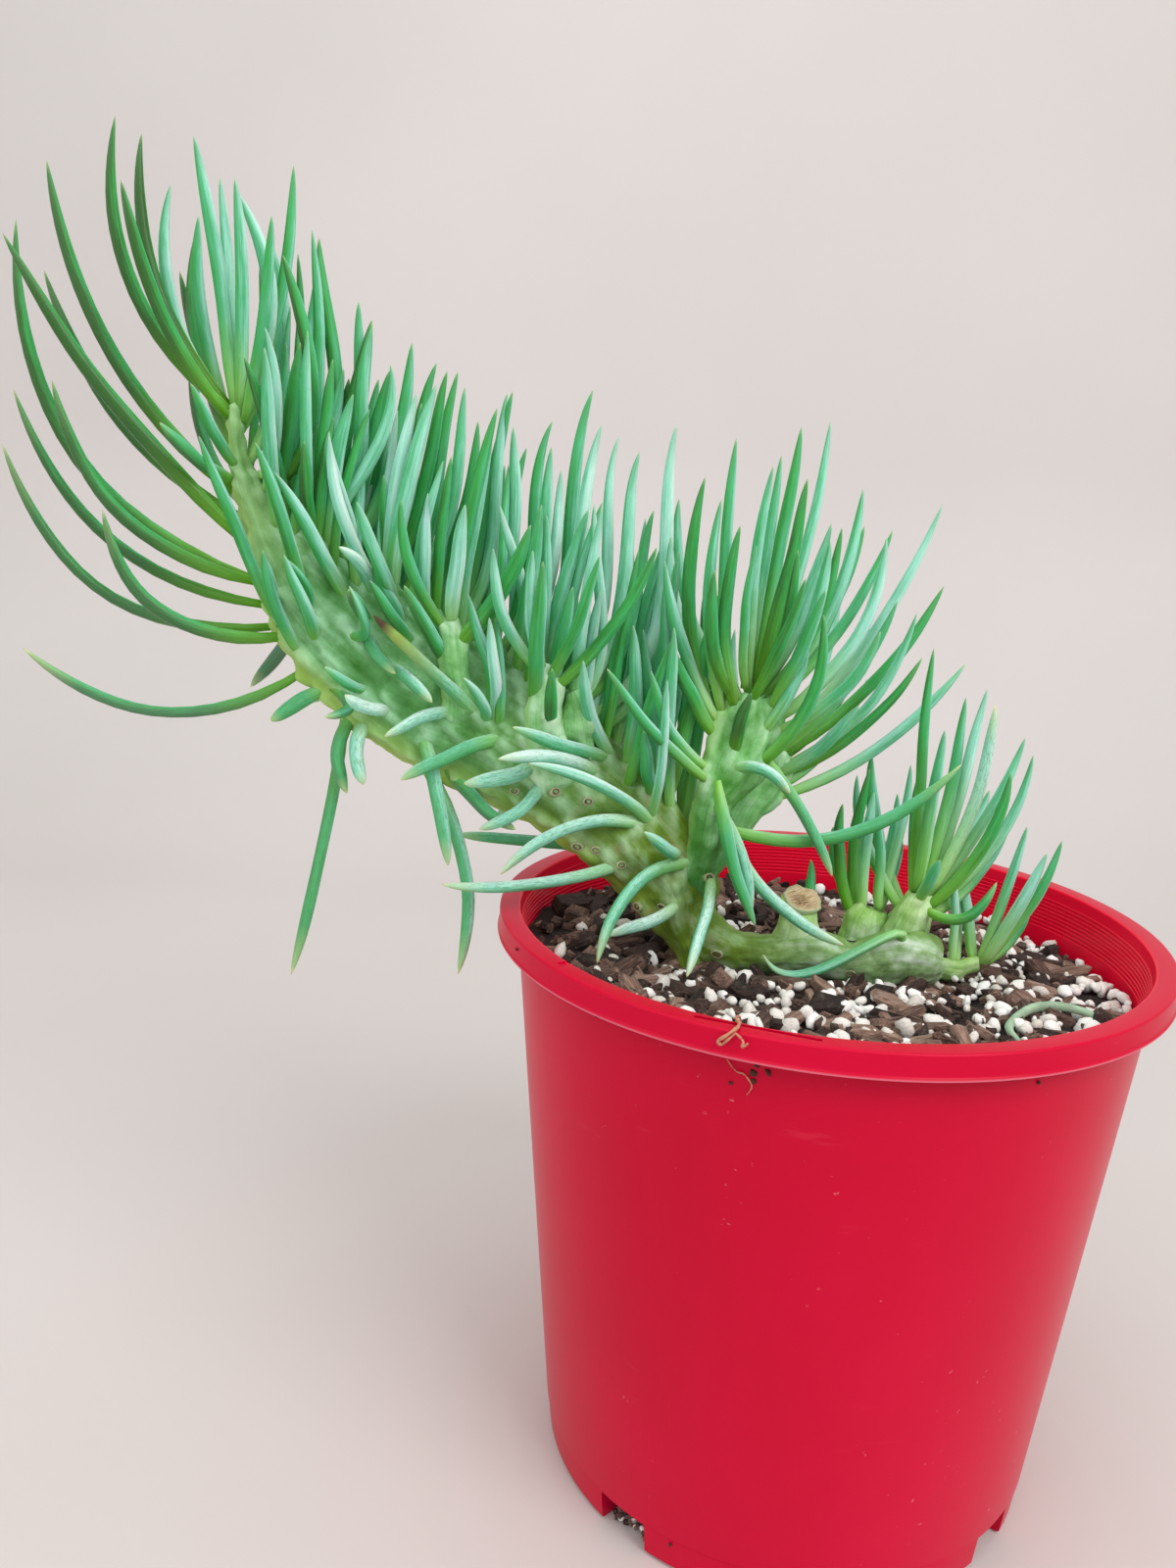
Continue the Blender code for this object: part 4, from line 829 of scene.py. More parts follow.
class Gathered:
    """Points and faces gathered for one mesh, with what its material reads at each point.

    Flow runs with the grain of a piece. Look holds the place along it, its tone and its dryness.
    """

    def __init__(self):
        self.points = []
        self.faces = []
        self.flow = []
        self.look = []

    def add(self, points, faces, flow=None, look=None):
        first = len(self.points)
        still = [(0.0, 0.0, 0.0)] * len(points)
        self.points += [tuple(point * MM) for point in points]
        self.faces += [tuple(first + corner for corner in face) for face in faces]
        self.flow += [tuple(value) for value in flow or still]
        self.look += [tuple(value) for value in look or still]

    def built(self, name, material, sharp_angle=None):
        mesh = bpy.data.meshes.new(name)
        mesh.from_pydata(self.points, [], self.faces)
        for title, values in (("flow", self.flow), ("look", self.look)):
            attribute = mesh.attributes.new(title, "FLOAT_VECTOR", "POINT")
            attribute.data.foreach_set("vector", np.array(values, np.float32).ravel())
        mesh.materials.append(material)
        mesh.shade_smooth()
        if sharp_angle:
            mesh.set_sharp_from_angle(angle=sharp_angle)
        return linked(name, mesh)


def linked(name, data):
    made = bpy.data.objects.new(name, data)
    bpy.context.scene.collection.objects.link(made)
    return made


def ring_faces(rings, sides, first=0):
    """Faces between rings of points, which look up where the rings grow outwards."""
    faces = []
    for low in range(first, first + (rings - 1) * sides, sides):
        for side in range(sides):
            after = (side + 1) % sides
            faces.append((low + side, low + sides + side, low + sides + after, low + after))
    return faces


def tube_faces(rings, sides, tip=False):
    """Faces of a tube whose first ring is capped, and whose end is capped or pointed."""
    faces = [(low, beside, above, high) for low, high, above, beside in ring_faces(rings, sides)]
    last = (rings - 1) * sides
    faces.append(tuple(reversed(range(sides))))
    if tip:
        faces += [(last + side, last + (side + 1) % sides, last + sides) for side in range(sides)]
    else:
        faces.append(tuple(range(last, last + sides)))
    return faces


def outward(faces, points, centre):
    """The faces turned so that they look away from the centre of their tube."""
    corner = [points[index] for index in faces[0][:3]]
    normal = (corner[1] - corner[0]).cross(corner[2] - corner[0])
    if normal.dot(corner[0] - centre) < 0.0:
        return [tuple(reversed(face)) for face in faces]
    return faces


def transported(curve, stations):
    """Frames along a curve that don't twist: place, across and through for each station."""
    along = leaf_way(curve, stations[0])
    side = along.cross(Vector((0.0, 1.0, 0.0)))
    if side.length < 0.2:
        side = along.cross(Vector((1.0, 0.0, 0.0)))
    side.normalize()
    frames = []
    for at in stations:
        along = leaf_way(curve, at)
        side = (side - along * side.dot(along)).normalized()
        frames.append((leaf_curve(curve, at), side, side.cross(along)))
    return frames


def shown_width(at, length, dry):
    """Share of the full half width: a slim root and a long tip, blunter where it has withered."""
    reach = max(SLIM_REACH, SLIM_LENGTH / length)
    root = SLIM_ROOT + (1.0 - SLIM_ROOT) * math.sin(math.pi / 2.0 * min(1.0, at / reach))
    past = max(0.0, at - TAPER_START) / (1.0 - TAPER_START)
    sharpness = TAPER_SHARPNESS + DRY_SHARPNESS * min(1.0, dry)
    return root * (1.0 - past**sharpness) ** TAPER_FULLNESS


def noise_seed(draw):
    return Vector([draw.uniform(0.0, 90.0) for _ in range(3)])


def add_leaf(gathered, leaf, tone, dry, draw, flare=0.0):
    """One finger leaf. Tone is how much pale bloom it has, and dry how far it has withered."""
    points, width = leaf
    length = leaf_length(leaf)
    seed = noise_seed(draw)
    stations = [1.0 - (1.0 - ring / LEAF_RINGS) ** RING_CROWDING for ring in range(LEAF_RINGS)]
    skin, flow, look = [], [], []
    for at, (centre, side, through) in zip(stations, transported(points, stations)):
        sway = noise.noise_vector(seed + Vector((at * SWAY_TURNS, 0.0, 0.0)))
        centre = centre + sway * SWAY * math.sin(math.pi * at)
        uneven = 1.0 + UNEVENNESS * noise.noise(seed + Vector((0.0, at * UNEVEN_TURNS, 0.0)))
        half = width * shown_width(at, length, dry) * uneven
        half *= 1.0 + flare * math.exp(-((at * length / FLARE_REACH) ** 2))
        for turn in turns(LEAF_SIDES):
            round_way = Vector((math.cos(turn), math.sin(turn), at))
            crease = 1.0 + dry * CREASE * noise.noise(seed + round_way * Vector(CREASE_TURNS))
            across = side * math.cos(turn) + through * LEAF_FLATNESS * math.sin(turn)
            skin.append(centre + across * half * crease)
            flow.append(seed + round_way * Vector((1.0, 1.0, length / FLOW_LENGTH)))
            # Painted light: paler along both edges as a painted highlight, and paler on the side that faces
            # the lamps
            paler = EDGE_HIGHLIGHT * (math.cos(turn) ** 8 - 0.25)
            look.append((at, tone + paler + LIT_SIDE_SHARE * across.dot(LIT_SIDE_FACING), dry))
    skin.append(points[-1])
    flow.append(seed + Vector((0.0, 0.0, length / FLOW_LENGTH)))
    look.append((1.0, tone, dry))
    faces = tube_faces(LEAF_RINGS, LEAF_SIDES, tip=True)
    gathered.add(skin, outward(faces, skin, leaf_curve(points, 0.0)), flow, look)


def rib_heights(points, leaves, knobs):
    """Ribs, which run down a skin from where its leaves leave it, as shares of their full height."""
    tree = KDTree(len(points))
    for index, point in enumerate(points):
        tree.insert(point, index)
    tree.balance()
    roots = list(knobs)
    for curve, width in leaves:
        step = min(1.0, ROOT_PROBES / leaf_length((curve, width))) / ROOT_PROBES
        found = [tree.find(leaf_curve(curve, step * probe)) for probe in range(ROOT_PROBES)]
        spot, _, gap = min(found, key=lambda near: near[2])
        if gap < ROOT_GAP:
            roots.append(spot)
    ribs = [0.0] * len(points)
    for root in roots:
        way = root - GRAIN_START
        way.y = 0.0
        way.normalize()
        for spot, index, _ in tree.find_range(root - way * RIB_REACH / 2.0, RIB_REACH):
            apart = root - spot
            along = apart.dot(way)
            aside = max(0.0, apart.length_squared - along**2)
            if along > 0.0:
                along /= RIB_STRETCH
            ribs[index] = max(ribs[index], math.exp(-(aside + along**2) / RIB_RADIUS**2))
    return ribs


def stem_skin(name, point_at, last, leaves, material, lobes, tone, knobs=(), rib_height=RIB_HEIGHT):
    """A stem's fine skin. Its look holds the place along it, its tone and how near the growing edge."""
    rows = int(round(last / SKIN_STEP)) + 1
    gathered = Gathered()
    skin, flow, look = [], [], []
    for row in range(rows):
        at = min(last, row * SKIN_STEP)
        for turn in turns(SKIN_SIDES):
            skin.append(point_at(at, turn))
            flow.append(Vector((math.cos(turn), math.sin(turn), at)) * Vector(SKIN_FLOW))
            look.append((at / last, tone, (1.0 + math.cos(turn)) / 2.0))
    centre = sum(skin[:SKIN_SIDES], Vector()) / SKIN_SIDES
    gathered.add(skin, outward(tube_faces(rows, SKIN_SIDES), skin, centre), flow, look)
    made = gathered.built(name, material)
    look = made.data.attributes["look"].data
    moved = []
    for vertex, point, rib in zip(made.data.vertices, skin, rib_heights(skin, leaves, knobs)):
        height = lobes * (LOBE_HEIGHT * abs(noise.noise(point / LOBE_SIZE)) - LOBE_SINK)
        height += BUMP_HEIGHT * noise.noise(point / BUMP_SIZE) + rib_height * rib - SKIN_SINK
        moved.append(vertex.co + vertex.normal * height * MM)
        look[vertex.index].vector[1] = tone + RIB_PALENESS * rib
    for vertex, place in zip(made.data.vertices, moved):
        vertex.co = place
    return made


# Materials


def shade(red, green, blue):
    """A colour written as it looks, from 0 to 255, in the linear values that a shader takes."""
    values = []
    for part in (red, green, blue):
        part /= 255.0
        values.append(part / 12.92 if part <= 0.04045 else ((part + 0.055) / 1.055) ** 2.4)
    return (*values, 1.0)


class Shading:
    """A short way to write a material's nodes. Colours of three parts run from 0 to 255."""

    def __init__(self, name):
        self.material = bpy.data.materials.new(name)
        self.material.use_nodes = True
        self.tree = self.material.node_tree
        self.shader = self.tree.nodes["Principled BSDF"]

    def fill(self, node, inputs):
        """Each input set on the node, or linked to it where it comes from another."""
        for key, value in inputs.items():
            if isinstance(value, bpy.types.NodeSocket):
                self.tree.links.new(value, node.inputs[key])
            else:
                is_colour = isinstance(value, tuple) and node.inputs[key].type == "RGBA"
                node.inputs[key].default_value = shade(*value) if is_colour and len(value) == 3 else value

    def add(self, kind, inputs=None, **settings):
        node = self.tree.nodes.new("ShaderNode" + kind)
        for key, value in settings.items():
            setattr(node, key, value)
        self.fill(node, inputs or {})
        return node

    def value(self, title):
        return self.add("Attribute", attribute_name=title).outputs["Vector"]

    def parts(self, vector):
        return self.add("SeparateXYZ", {"Vector": vector}).outputs

    def place(self):
        return self.add("TexCoord").outputs["Object"]

    def stretched(self, vector, factors):
        return self.add("VectorMath", {0: vector, 1: factors}, operation="MULTIPLY").outputs["Vector"]

    def noise(self, vector, scale, detail=3.0, roughness=0.5):
        """Noise of one scale, or of one for each axis."""
        if isinstance(scale, tuple):
            vector = self.stretched(vector, scale)
            scale = 1.0
        inputs = {"Vector": vector, "Scale": scale, "Detail": detail, "Roughness": roughness}
        return self.add("TexNoise", inputs).outputs["Fac"]

    def ramp(self, factor, stops):
        node = self.add("ValToRGB", {"Fac": factor})
        ramp = node.color_ramp
        while len(ramp.elements) < len(stops):
            ramp.elements.new(0.5)
        for element, (place, colour) in zip(ramp.elements, stops):
            element.position = place
            element.color = shade(*colour)
        return node.outputs["Color"]

    def step(self, factor, low, high, start=0.0, end=1.0):
        """From start to end, as the factor goes from low to high."""
        inputs = {"Value": factor, "From Min": low, "From Max": high, "To Min": start, "To Max": end}
        return self.add("MapRange", inputs).outputs["Result"]

    def math(self, operation, first, second):
        return self.add("Math", {0: first, 1: second}, operation=operation).outputs["Value"]

    def times(self, first, second):
        return self.math("MULTIPLY", first, second)

    def plus(self, first, second):
        return self.math("ADD", first, second)

    def mix(self, factor, first, second):
        return self.add("Mix", {0: factor, 6: first, 7: second}, data_type="RGBA").outputs[2]

    def tint(self, colour, over, mask, strength):
        """The colour, with another over it where the mask is."""
        return self.mix(self.times(mask, strength), colour, over)

    def finished(self, colour, roughness, bumps=(), specular=None, spread=None):
        """The material. Each bump is its height, strength and distance.

        Spread is the weight of the light that spreads inside, and its reach by colour.
        """
        inputs = {"Base Color": colour, "Roughness": roughness}
        for height, strength, distance in bumps:
            bump = {"Height": height, "Strength": strength, "Distance": distance}
            if "Normal" in inputs:
                bump["Normal"] = inputs["Normal"]
            inputs["Normal"] = self.add("Bump", bump).outputs["Normal"]
        if specular is not None:
            inputs["Specular IOR Level"] = specular
        if spread:
            inputs["Subsurface Weight"], inputs["Subsurface Radius"] = spread
            inputs["Subsurface Scale"] = 1.0
        self.fill(self.shader, inputs)
        return self.material


def leaf_material(name, root_reach, root_share):
    """Finger leaf, yellower green near its root by the root share, partly as a painted glow through its base,
    and bluer where its bloom and its painted highlights are.
    """
    look = Shading(name)
    flow = look.value("flow")
    along, tone, dry = look.parts(look.value("look"))
    streak = look.noise(flow, (2.6, 2.6, 0.25), 4.0, 0.6)
    patch = look.noise(flow, (0.9, 0.9, 0.7), 3.0, 0.6)
    fleck = look.noise(flow, (6.24, 6.24, 5.28), 4.0, 0.7)
    wither = look.math("MINIMUM", dry, 1.0)
    worn = look.plus(look.times(streak, 0.5), look.times(patch, 0.5))
    # The bloom carries the painted highlights of the tone: the leaf's lit side and its edges
    bloom_and_highlight = look.plus(tone, look.plus(worn, -0.5))
    colour = look.ramp(bloom_and_highlight, [
        (0.00, (50, 98, 34)),
        (0.25, (52, 162, 74)),
        (0.46, (84, 180, 128)),
        (0.68, (154, 220, 200)),
        (1.00, (226, 248, 242)),
    ])
    colour = look.tint(colour, (134, 194, 172), wither, 0.22)
    colour = look.tint(colour, (74, 138, 80), look.times(look.step(fleck, 0.50, 0.60), wither), 0.55)
    # Yellow-green near the root: partly the leaf's own colour, partly a painted glow of light shining through
    # the leaf's base
    root = look.mix(look.step(bloom_and_highlight, 0.1, 0.6), (104, 168, 24), (164, 212, 104))
    colour = look.tint(colour, root, look.step(along, root_reach, 0.03), root_share)
    darker = look.times(look.step(along, 0.82, 0.95), look.step(wither, 0.4, 0.1))
    colour = look.tint(colour, (52, 112, 70), darker, 0.35)
    faded = look.times(look.step(along, 0.80, 1.0), wither)
    colour = look.tint(colour, (206, 216, 160), faded, 0.6)
    tip = look.times(look.step(along, 0.965, 1.0), look.plus(wither, 0.2))
    colour = look.mix(look.math("MINIMUM", tip, 0.8), colour, (206, 208, 150))
    burnt = look.step(dry, 1.2, 1.4)
    colour = look.tint(colour, (142, 168, 84), burnt, look.step(along, 0.35, 0.8))
    colour = look.tint(colour, (78, 60, 40), burnt, look.step(along, 0.84, 0.92))
    bumps = [(fleck, 0.12, 0.0002), (streak, 0.2, 0.0004)]
    return look.finished(colour, look.step(bloom_and_highlight, -0.6, 1.2), bumps, 0.3, (0.3, (0.0015, 0.004, 0.0015)))


def stem_material(name, old, young, ridge, brown, turning, shares, fresh=0.0):
    """Stem skin. Old and young are its deep, middle and pale colours at the soil and further up.

    Ridge is the colour of its lower edge, brown that of its worn places, and turning where along
    the stem it goes from old to young. Shares are those of fine streaks, broad streaks and clouds,
    and fresh is how yellow its end is.
    """
    look = Shading(name)
    along, tone, edge = look.parts(look.value("look"))
    flow = look.value("flow")
    fine = look.noise(flow, (2.2, 2.2, 1.0), 4.0, 0.65)
    broad = look.noise(flow, (0.9, 0.9, 0.5), 3.0, 0.6)
    cloud = look.noise(look.place(), 110.0, 5.0, 0.65)
    grain = look.noise(look.place(), 520.0, 3.0, 0.6)
    worn = look.times(fine, shares[0])
    worn = look.plus(worn, look.times(broad, shares[1]))
    worn = look.plus(worn, look.times(cloud, shares[2]))
    paler = look.plus(worn, look.plus(tone, -0.5))
    colours = [look.ramp(paler, list(zip((0.36, 0.50, 0.67), shades))) for shades in (old, young)]
    colour = look.mix(look.step(along, *turning), *colours)
    colour = look.tint(colour, ridge, look.step(edge, 0.20, 0.02), 0.7)
    colour = look.tint(colour, (176, 212, 136), look.step(along, 0.66, 0.84), fresh)
    marks = look.times(look.step(cloud, 0.56, 0.68), look.step(along, turning[1], turning[0]))
    colour = look.tint(colour, brown, marks, 0.6)
    bumps = [(worn, 0.35, 0.0010), (grain, 0.25, 0.0003)]
    return look.finished(colour, 0.5, bumps, 0.3, (0.2, (0.002, 0.005, 0.002)))


def scar_material():
    """A leaf scar: a dark middle in a tan ring, which pales to the skin."""
    look = Shading("leaf_scar")
    along = look.parts(look.value("look"))[0]
    rough = look.noise(look.place(), 900.0)
    place = look.plus(along, look.times(look.plus(rough, -0.5), 0.3))
    colour = look.ramp(place, [
        (0.25, (44, 28, 22)),
        (0.50, (110, 84, 60)),
        (0.72, (182, 184, 148)),
        (0.95, (122, 148, 84)),
    ])
    return look.finished(colour, 0.7, [(rough, 0.5, 0.0004)])


def cut_material():
    """Dry pith: papery lines across the cut, darker in its middle."""
    look = Shading("cut_wood")
    share = look.parts(look.value("look"))[0]
    lines = look.noise(look.value("flow"), (0.35, 2.4, 1.0), 4.0, 0.6)
    place = look.plus(look.times(lines, 0.9), look.times(share, 0.25))
    colour = look.ramp(place, [
        (0.42, (112, 84, 54)),
        (0.58, (184, 158, 120)),
        (0.78, (222, 204, 172)),
    ])
    colour = look.mix(look.step(share, 0.88, 1.0), colour, (168, 186, 140))
    return look.finished(colour, 0.85, [(lines, 0.6, 0.0006)])


def pot_material():
    """Red plastic, faintly scuffed, painted brighter inside as a painted glow, with a pale painted highlight
    line along the lip's bead.
    """
    look = Shading("red_plastic")
    place = look.place()
    cloud = look.noise(place, 9.0, 4.0, 0.55)
    fine = look.noise(place, 900.0, 2.0)
    scuff = look.noise(place, (40.0, 40.0, 240.0), 4.0, 0.7)
    speck = look.noise(place, 420.0, 2.0)
    area = look.noise(place, 14.0, 2.0)
    colour = look.ramp(cloud, [(0.3, (193, 0, 43)), (0.7, (209, 0, 55))])
    marks = look.times(look.step(scuff, 0.64, 0.72), look.step(area, 0.45, 0.6))
    colour = look.tint(colour, (232, 96, 112), marks, 0.08)
    specks = look.times(look.step(speck, 0.72, 0.78), look.step(area, 0.5, 0.65))
    colour = look.tint(colour, (238, 150, 156), specks, 0.5)
    # Painted light: the inner wall below the rim is painted brighter, a painted glow as of light shining
    # through the plastic
    flat = look.stretched(place, (1.0, 1.0, 0.0))
    away = look.add("VectorMath", {0: flat}, operation="LENGTH").outputs["Value"]
    height = look.parts(place)["Z"]
    draft = (SHOULDER_RADIUS - FOOT_RADIUS) / (POT_HEIGHT - LIP_HEIGHT)
    wall = look.plus(look.times(height, draft), FOOT_RADIUS * MM)
    within = look.step(look.math("SUBTRACT", wall, away), 0.0005, 0.0009)
    inside = look.times(within, look.step(height, 0.150, 0.155))
    colour = look.mix(inside, colour, (238, 10, 52))
    # Painted highlight: a pale pink line painted along the lip's bead
    bead = look.times(look.step(away, 0.0990, 0.0994), look.step(height, 0.1709, 0.1704))
    colour = look.tint(colour, (244, 140, 160), bead, 0.6)
    gloss = look.step(cloud, 0.0, 1.0, 0.24, 0.36)
    return look.finished(colour, gloss, [(cloud, 0.2, 0.0006), (fine, 0.05, 0.0002)], 0.13)


def bark_material():
    """Bark, streaked along each chip and dusty in places."""
    look = Shading("bark_chip")
    flow = look.value("flow")
    tone = look.parts(look.value("look"))[1]
    grain = look.noise(flow, (0.35, 3.2, 3.2), 5.0, 0.65)
    dust = look.noise(flow, 0.8, 5.0, 0.7)
    colour = look.ramp(look.plus(look.times(grain, 0.75), look.times(tone, 0.45)), [
        (0.34, (26, 16, 13)),
        (0.56, (66, 45, 38)),
        (0.76, (132, 102, 88)),
        (1.00, (202, 174, 155)),
    ])
    colour = look.tint(colour, (150, 138, 128), look.step(dust, 0.54, 0.72), 0.3)
    return look.finished(colour, 0.85, [(grain, 0.9, 0.0010)])


def perlite_material():
    """White, pitted grains."""
    look = Shading("perlite")
    tone = look.parts(look.value("look"))[1]
    pits = look.noise(look.value("flow"), 2.6, 4.0, 0.6)
    colour = look.ramp(look.plus(look.times(pits, 0.6), look.times(tone, 0.5)), [
        (0.2, (188, 178, 166)),
        (0.5, (232, 228, 222)),
        (0.8, (247, 246, 244)),
    ])
    spread = (0.15, (0.001, 0.001, 0.001))
    return look.finished(colour, 0.9, [(pits, 0.5, 0.0005)], None, spread)


def earth_material():
    """The fine, dark bark under the chips."""
    look = Shading("fine_bark")
    clumps = look.noise(look.place(), 260.0, 6.0, 0.7)
    colour = look.ramp(clumps, [
        (0.35, (14, 9, 8)),
        (0.55, (42, 28, 24)),
        (0.75, (88, 66, 57)),
    ])
    return look.finished(colour, 0.95, [(clumps, 1.0, 0.0020)])


def plain_material(name, colour, roughness):
    """One colour, clouded with a darker one."""
    look = Shading(name)
    cloud = look.noise(look.place(), 180.0, 4.0, 0.6)
    darker = tuple(part * 0.62 for part in shade(*colour)[:3]) + (1.0,)
    colour = look.mix(look.step(cloud, 0.35, 0.65), darker, colour)
    return look.finished(colour, roughness, [(cloud, 0.4, 0.0006)])


# Pot

POT_STEPS = 200
RIM_ARC = 5
INNER_LINES = 9
LINE_SPACING = 1.25
LINE_DEPTH = 0.21
LINE_TOP = 173.2
INNER_SLOPE_FOOT = 158.0
SHOWN_BEAD = 0.5
SLOT_ANGLE = math.radians(-109.5)
SLOT_RADII = (94.2, 95.5)
SLOT_WIDTH = 31.0
SLOT_DEPTH = 1.4
STEP_ANGLE = math.radians(-145.8)
STEP_RADII = (91.0, 96.6)
STEP_WIDTH = 2.4
STEP_DEPTH = 0.5
POT_SHARP_ANGLE = math.radians(32.0)
LINE_HEIGHT = 0.2
# Outline at the top of the foot's band and under the foot: how far in, and height
BAND_EDGE = [(0.0, 0.5), (FOOT_STEP, 0.1), (FOOT_STEP, -0.3)]
FOOT_EDGE = [(0.0, 0.8), (0.5, 0.2), (1.2, 0.0)]


def arc(centre, radius, first, last):
    """Points of a rounding in the profile, in degrees from its outward side."""
    points = []
    for index in range(RIM_ARC + 1):
        turn = math.radians(first + (last - first) * index / RIM_ARC)
        points.append((centre[0] + radius * math.cos(turn), centre[1] + radius * math.sin(turn)))
    return points


def pot_profile():
    """From the middle of the floor inside, up, over the rim, down outside and in below."""
    underside = POT_HEIGHT - LIP_HEIGHT
    band = RIM_RADIUS - SHOWN_BEAD
    profile = [(0.0, FLOOR), (wall_radius(FLOOR) - WALL, FLOOR)]
    foot = (wall_radius(INNER_SLOPE_FOOT) - WALL, INNER_SLOPE_FOOT)
    slope = (RIM_INNER_RADIUS - foot[0]) / (POT_HEIGHT - RIM_ROUNDING - foot[1])
    profile.append(foot)
    for line in reversed(range(INNER_LINES)):
        z = LINE_TOP - line * LINE_SPACING
        radius = foot[0] + slope * (z - foot[1])
        profile += [(radius - LINE_DEPTH, z - LINE_HEIGHT), (radius, z)]
    top = POT_HEIGHT - RIM_ROUNDING
    profile += arc((RIM_INNER_RADIUS + RIM_ROUNDING, top), RIM_ROUNDING, 180.0, 90.0)
    profile += arc((band - RIM_ROUNDING, top), RIM_ROUNDING, 90.0, 0.0)
    profile.append((band, underside + BEAD_HEIGHT + BEAD_SLOPE))
    bead = BEAD_HEIGHT / 2.0
    profile += arc((RIM_RADIUS - bead, underside + bead), bead, 60.0, -90.0)
    profile += [
        (RIM_RADIUS - SKIRT, underside),
        (RIM_RADIUS - SKIRT, POT_HEIGHT - SKIRT),
        (wall_radius(underside), POT_HEIGHT - SKIRT),
        (wall_radius(underside), underside),
    ]
    profile += [(wall_radius(FOOT_BAND) - inwards, FOOT_BAND + z) for inwards, z in BAND_EDGE]
    profile += [(FOOT_RADIUS - FOOT_STEP - inwards, z) for inwards, z in FOOT_EDGE]
    profile.append((0.0, 0.0))
    return profile


def turned_box(angle, inner, outer, width, bottom, top):
    """A box that reaches from an inner to an outer radius at an angle round the pot."""
    centre = Vector(((inner + outer) / 2.0, 0.0, (bottom + top) / 2.0))
    place = Matrix.Rotation(angle, 4, "Z") @ Matrix.Translation(centre)
    place.translation *= MM
    bm = bmesh.new()
    bmesh.ops.create_cube(bm, size=1.0)
    bmesh.ops.scale(bm, vec=Vector((outer - inner, width, top - bottom)) * MM, verts=bm.verts)
    bmesh.ops.transform(bm, matrix=place, verts=bm.verts)
    mesh = bpy.data.meshes.new("box")
    bm.to_mesh(mesh)
    bm.free()
    return bpy.data.objects.new("box", mesh)


def applied(target):
    """The target with its modifiers made part of its mesh."""
    graph = bpy.context.evaluated_depsgraph_get()
    mesh = bpy.data.meshes.new_from_object(target.evaluated_get(graph))
    target.modifiers.clear()
    target.data = mesh


def combined(target, operation, boxes):
    """The target with boxes joined to it or cut out of it."""
    collection = bpy.data.collections.new("boxes")
    bpy.context.scene.collection.children.link(collection)
    for box in boxes:
        collection.objects.link(turned_box(*box))
    modifier = target.modifiers.new(operation.lower(), "BOOLEAN")
    modifier.operation = operation
    modifier.operand_type = "COLLECTION"
    modifier.collection = collection
    modifier.solver = "EXACT"
    applied(target)
    for piece in list(collection.objects):
        bpy.data.objects.remove(piece)
    bpy.data.collections.remove(collection)


def make_pot():
    """The pot's turned wall, with pockets, notches and drain holes at its foot and marks in its rim."""
    profile = bpy.data.meshes.new("pot_shell")
    points = [Vector((radius, 0.0, z)) * MM for radius, z in pot_profile()]
    profile.from_pydata(points, [(i, i + 1) for i in range(len(points) - 1)], [])
    pot = linked("pot_shell", profile)
    screw = pot.modifiers.new("turned", "SCREW")
    screw.steps = POT_STEPS
    screw.render_steps = POT_STEPS
    screw.use_merge_vertices = True
    screw.merge_threshold = 0.01 * MM
    applied(pot)
    pockets, cuts = [], []
    outer = wall_radius(0.0) - FOOT_STEP - WALL / 2.0
    for angle in notch_angles():
        pockets.append((angle, NOTCH_INNER_RADIUS - POCKET_WALL, outer,
                        NOTCH_WIDTH + 2.0 * POCKET_WALL, FLOOR / 2.0, NOTCH_HEIGHT + POCKET_WALL))
        cuts.append((angle, NOTCH_INNER_RADIUS, RIM_RADIUS, NOTCH_WIDTH, -FLOOR, NOTCH_HEIGHT))
        cuts.append((angle, NOTCH_INNER_RADIUS - 3.0 * POCKET_WALL, NOTCH_INNER_RADIUS + 1.0,
                     DRAIN_WIDTH, DRAIN_BOTTOM, DRAIN_TOP))
    cuts.append((SLOT_ANGLE, *SLOT_RADII, SLOT_WIDTH, POT_HEIGHT - SLOT_DEPTH, POT_HEIGHT + 1.0))
    cuts.append((STEP_ANGLE, *STEP_RADII, STEP_WIDTH, POT_HEIGHT - STEP_DEPTH, POT_HEIGHT + 1.0))
    combined(pot, "UNION", pockets)
    combined(pot, "DIFFERENCE", cuts)
    pot.data.materials.clear()
    pot.data.materials.append(pot_material())
    pot.data.shade_smooth()
    pot.data.set_sharp_from_angle(angle=POT_SHARP_ANGLE)
    return pot


# Potting mix

# Fine bark under the chips: its drop, its bank at the wall, its room there and its unevenness
BED_RINGS = 60
BED_SIDES = 160
BED_DROP = 1.2
BED_BANK = 3.5
BANK_START = 0.7
BED_ROOM = 0.6
BED_GAP = 0.25
LUMP_SIZE = 5.0
CRUMB_SIZE = 2.0
STEM_HOLLOW = 4.0
HOLLOW_MIDDLE = (-3.0, -3.0)
HOLLOW_HALF_SIZE = (42.0, 11.0)
HOLLOW_FADE = 8.0

# Bark chips
CHIP_COUNT = 1150
CHIP_SIDES = 7
CHIP_LEVELS = ((-0.5, 0.78), (0.1, 1.0), (0.5, 0.84))
CHIP_SQUARENESS = 0.6
CHIP_SHARP_ANGLE = math.radians(24.0)
SHORTEST_CHIP = 3.4
CHIP_LENGTH_SPREAD = 15.0

# Perlite: single grains, and clusters of them
GRAIN_COUNT = 620
CLUSTER_COUNT = 46
SMALLEST_GRAIN = 1.0
GRAIN_SPREAD = 2.0
CLUSTER_SPREAD = 2.4

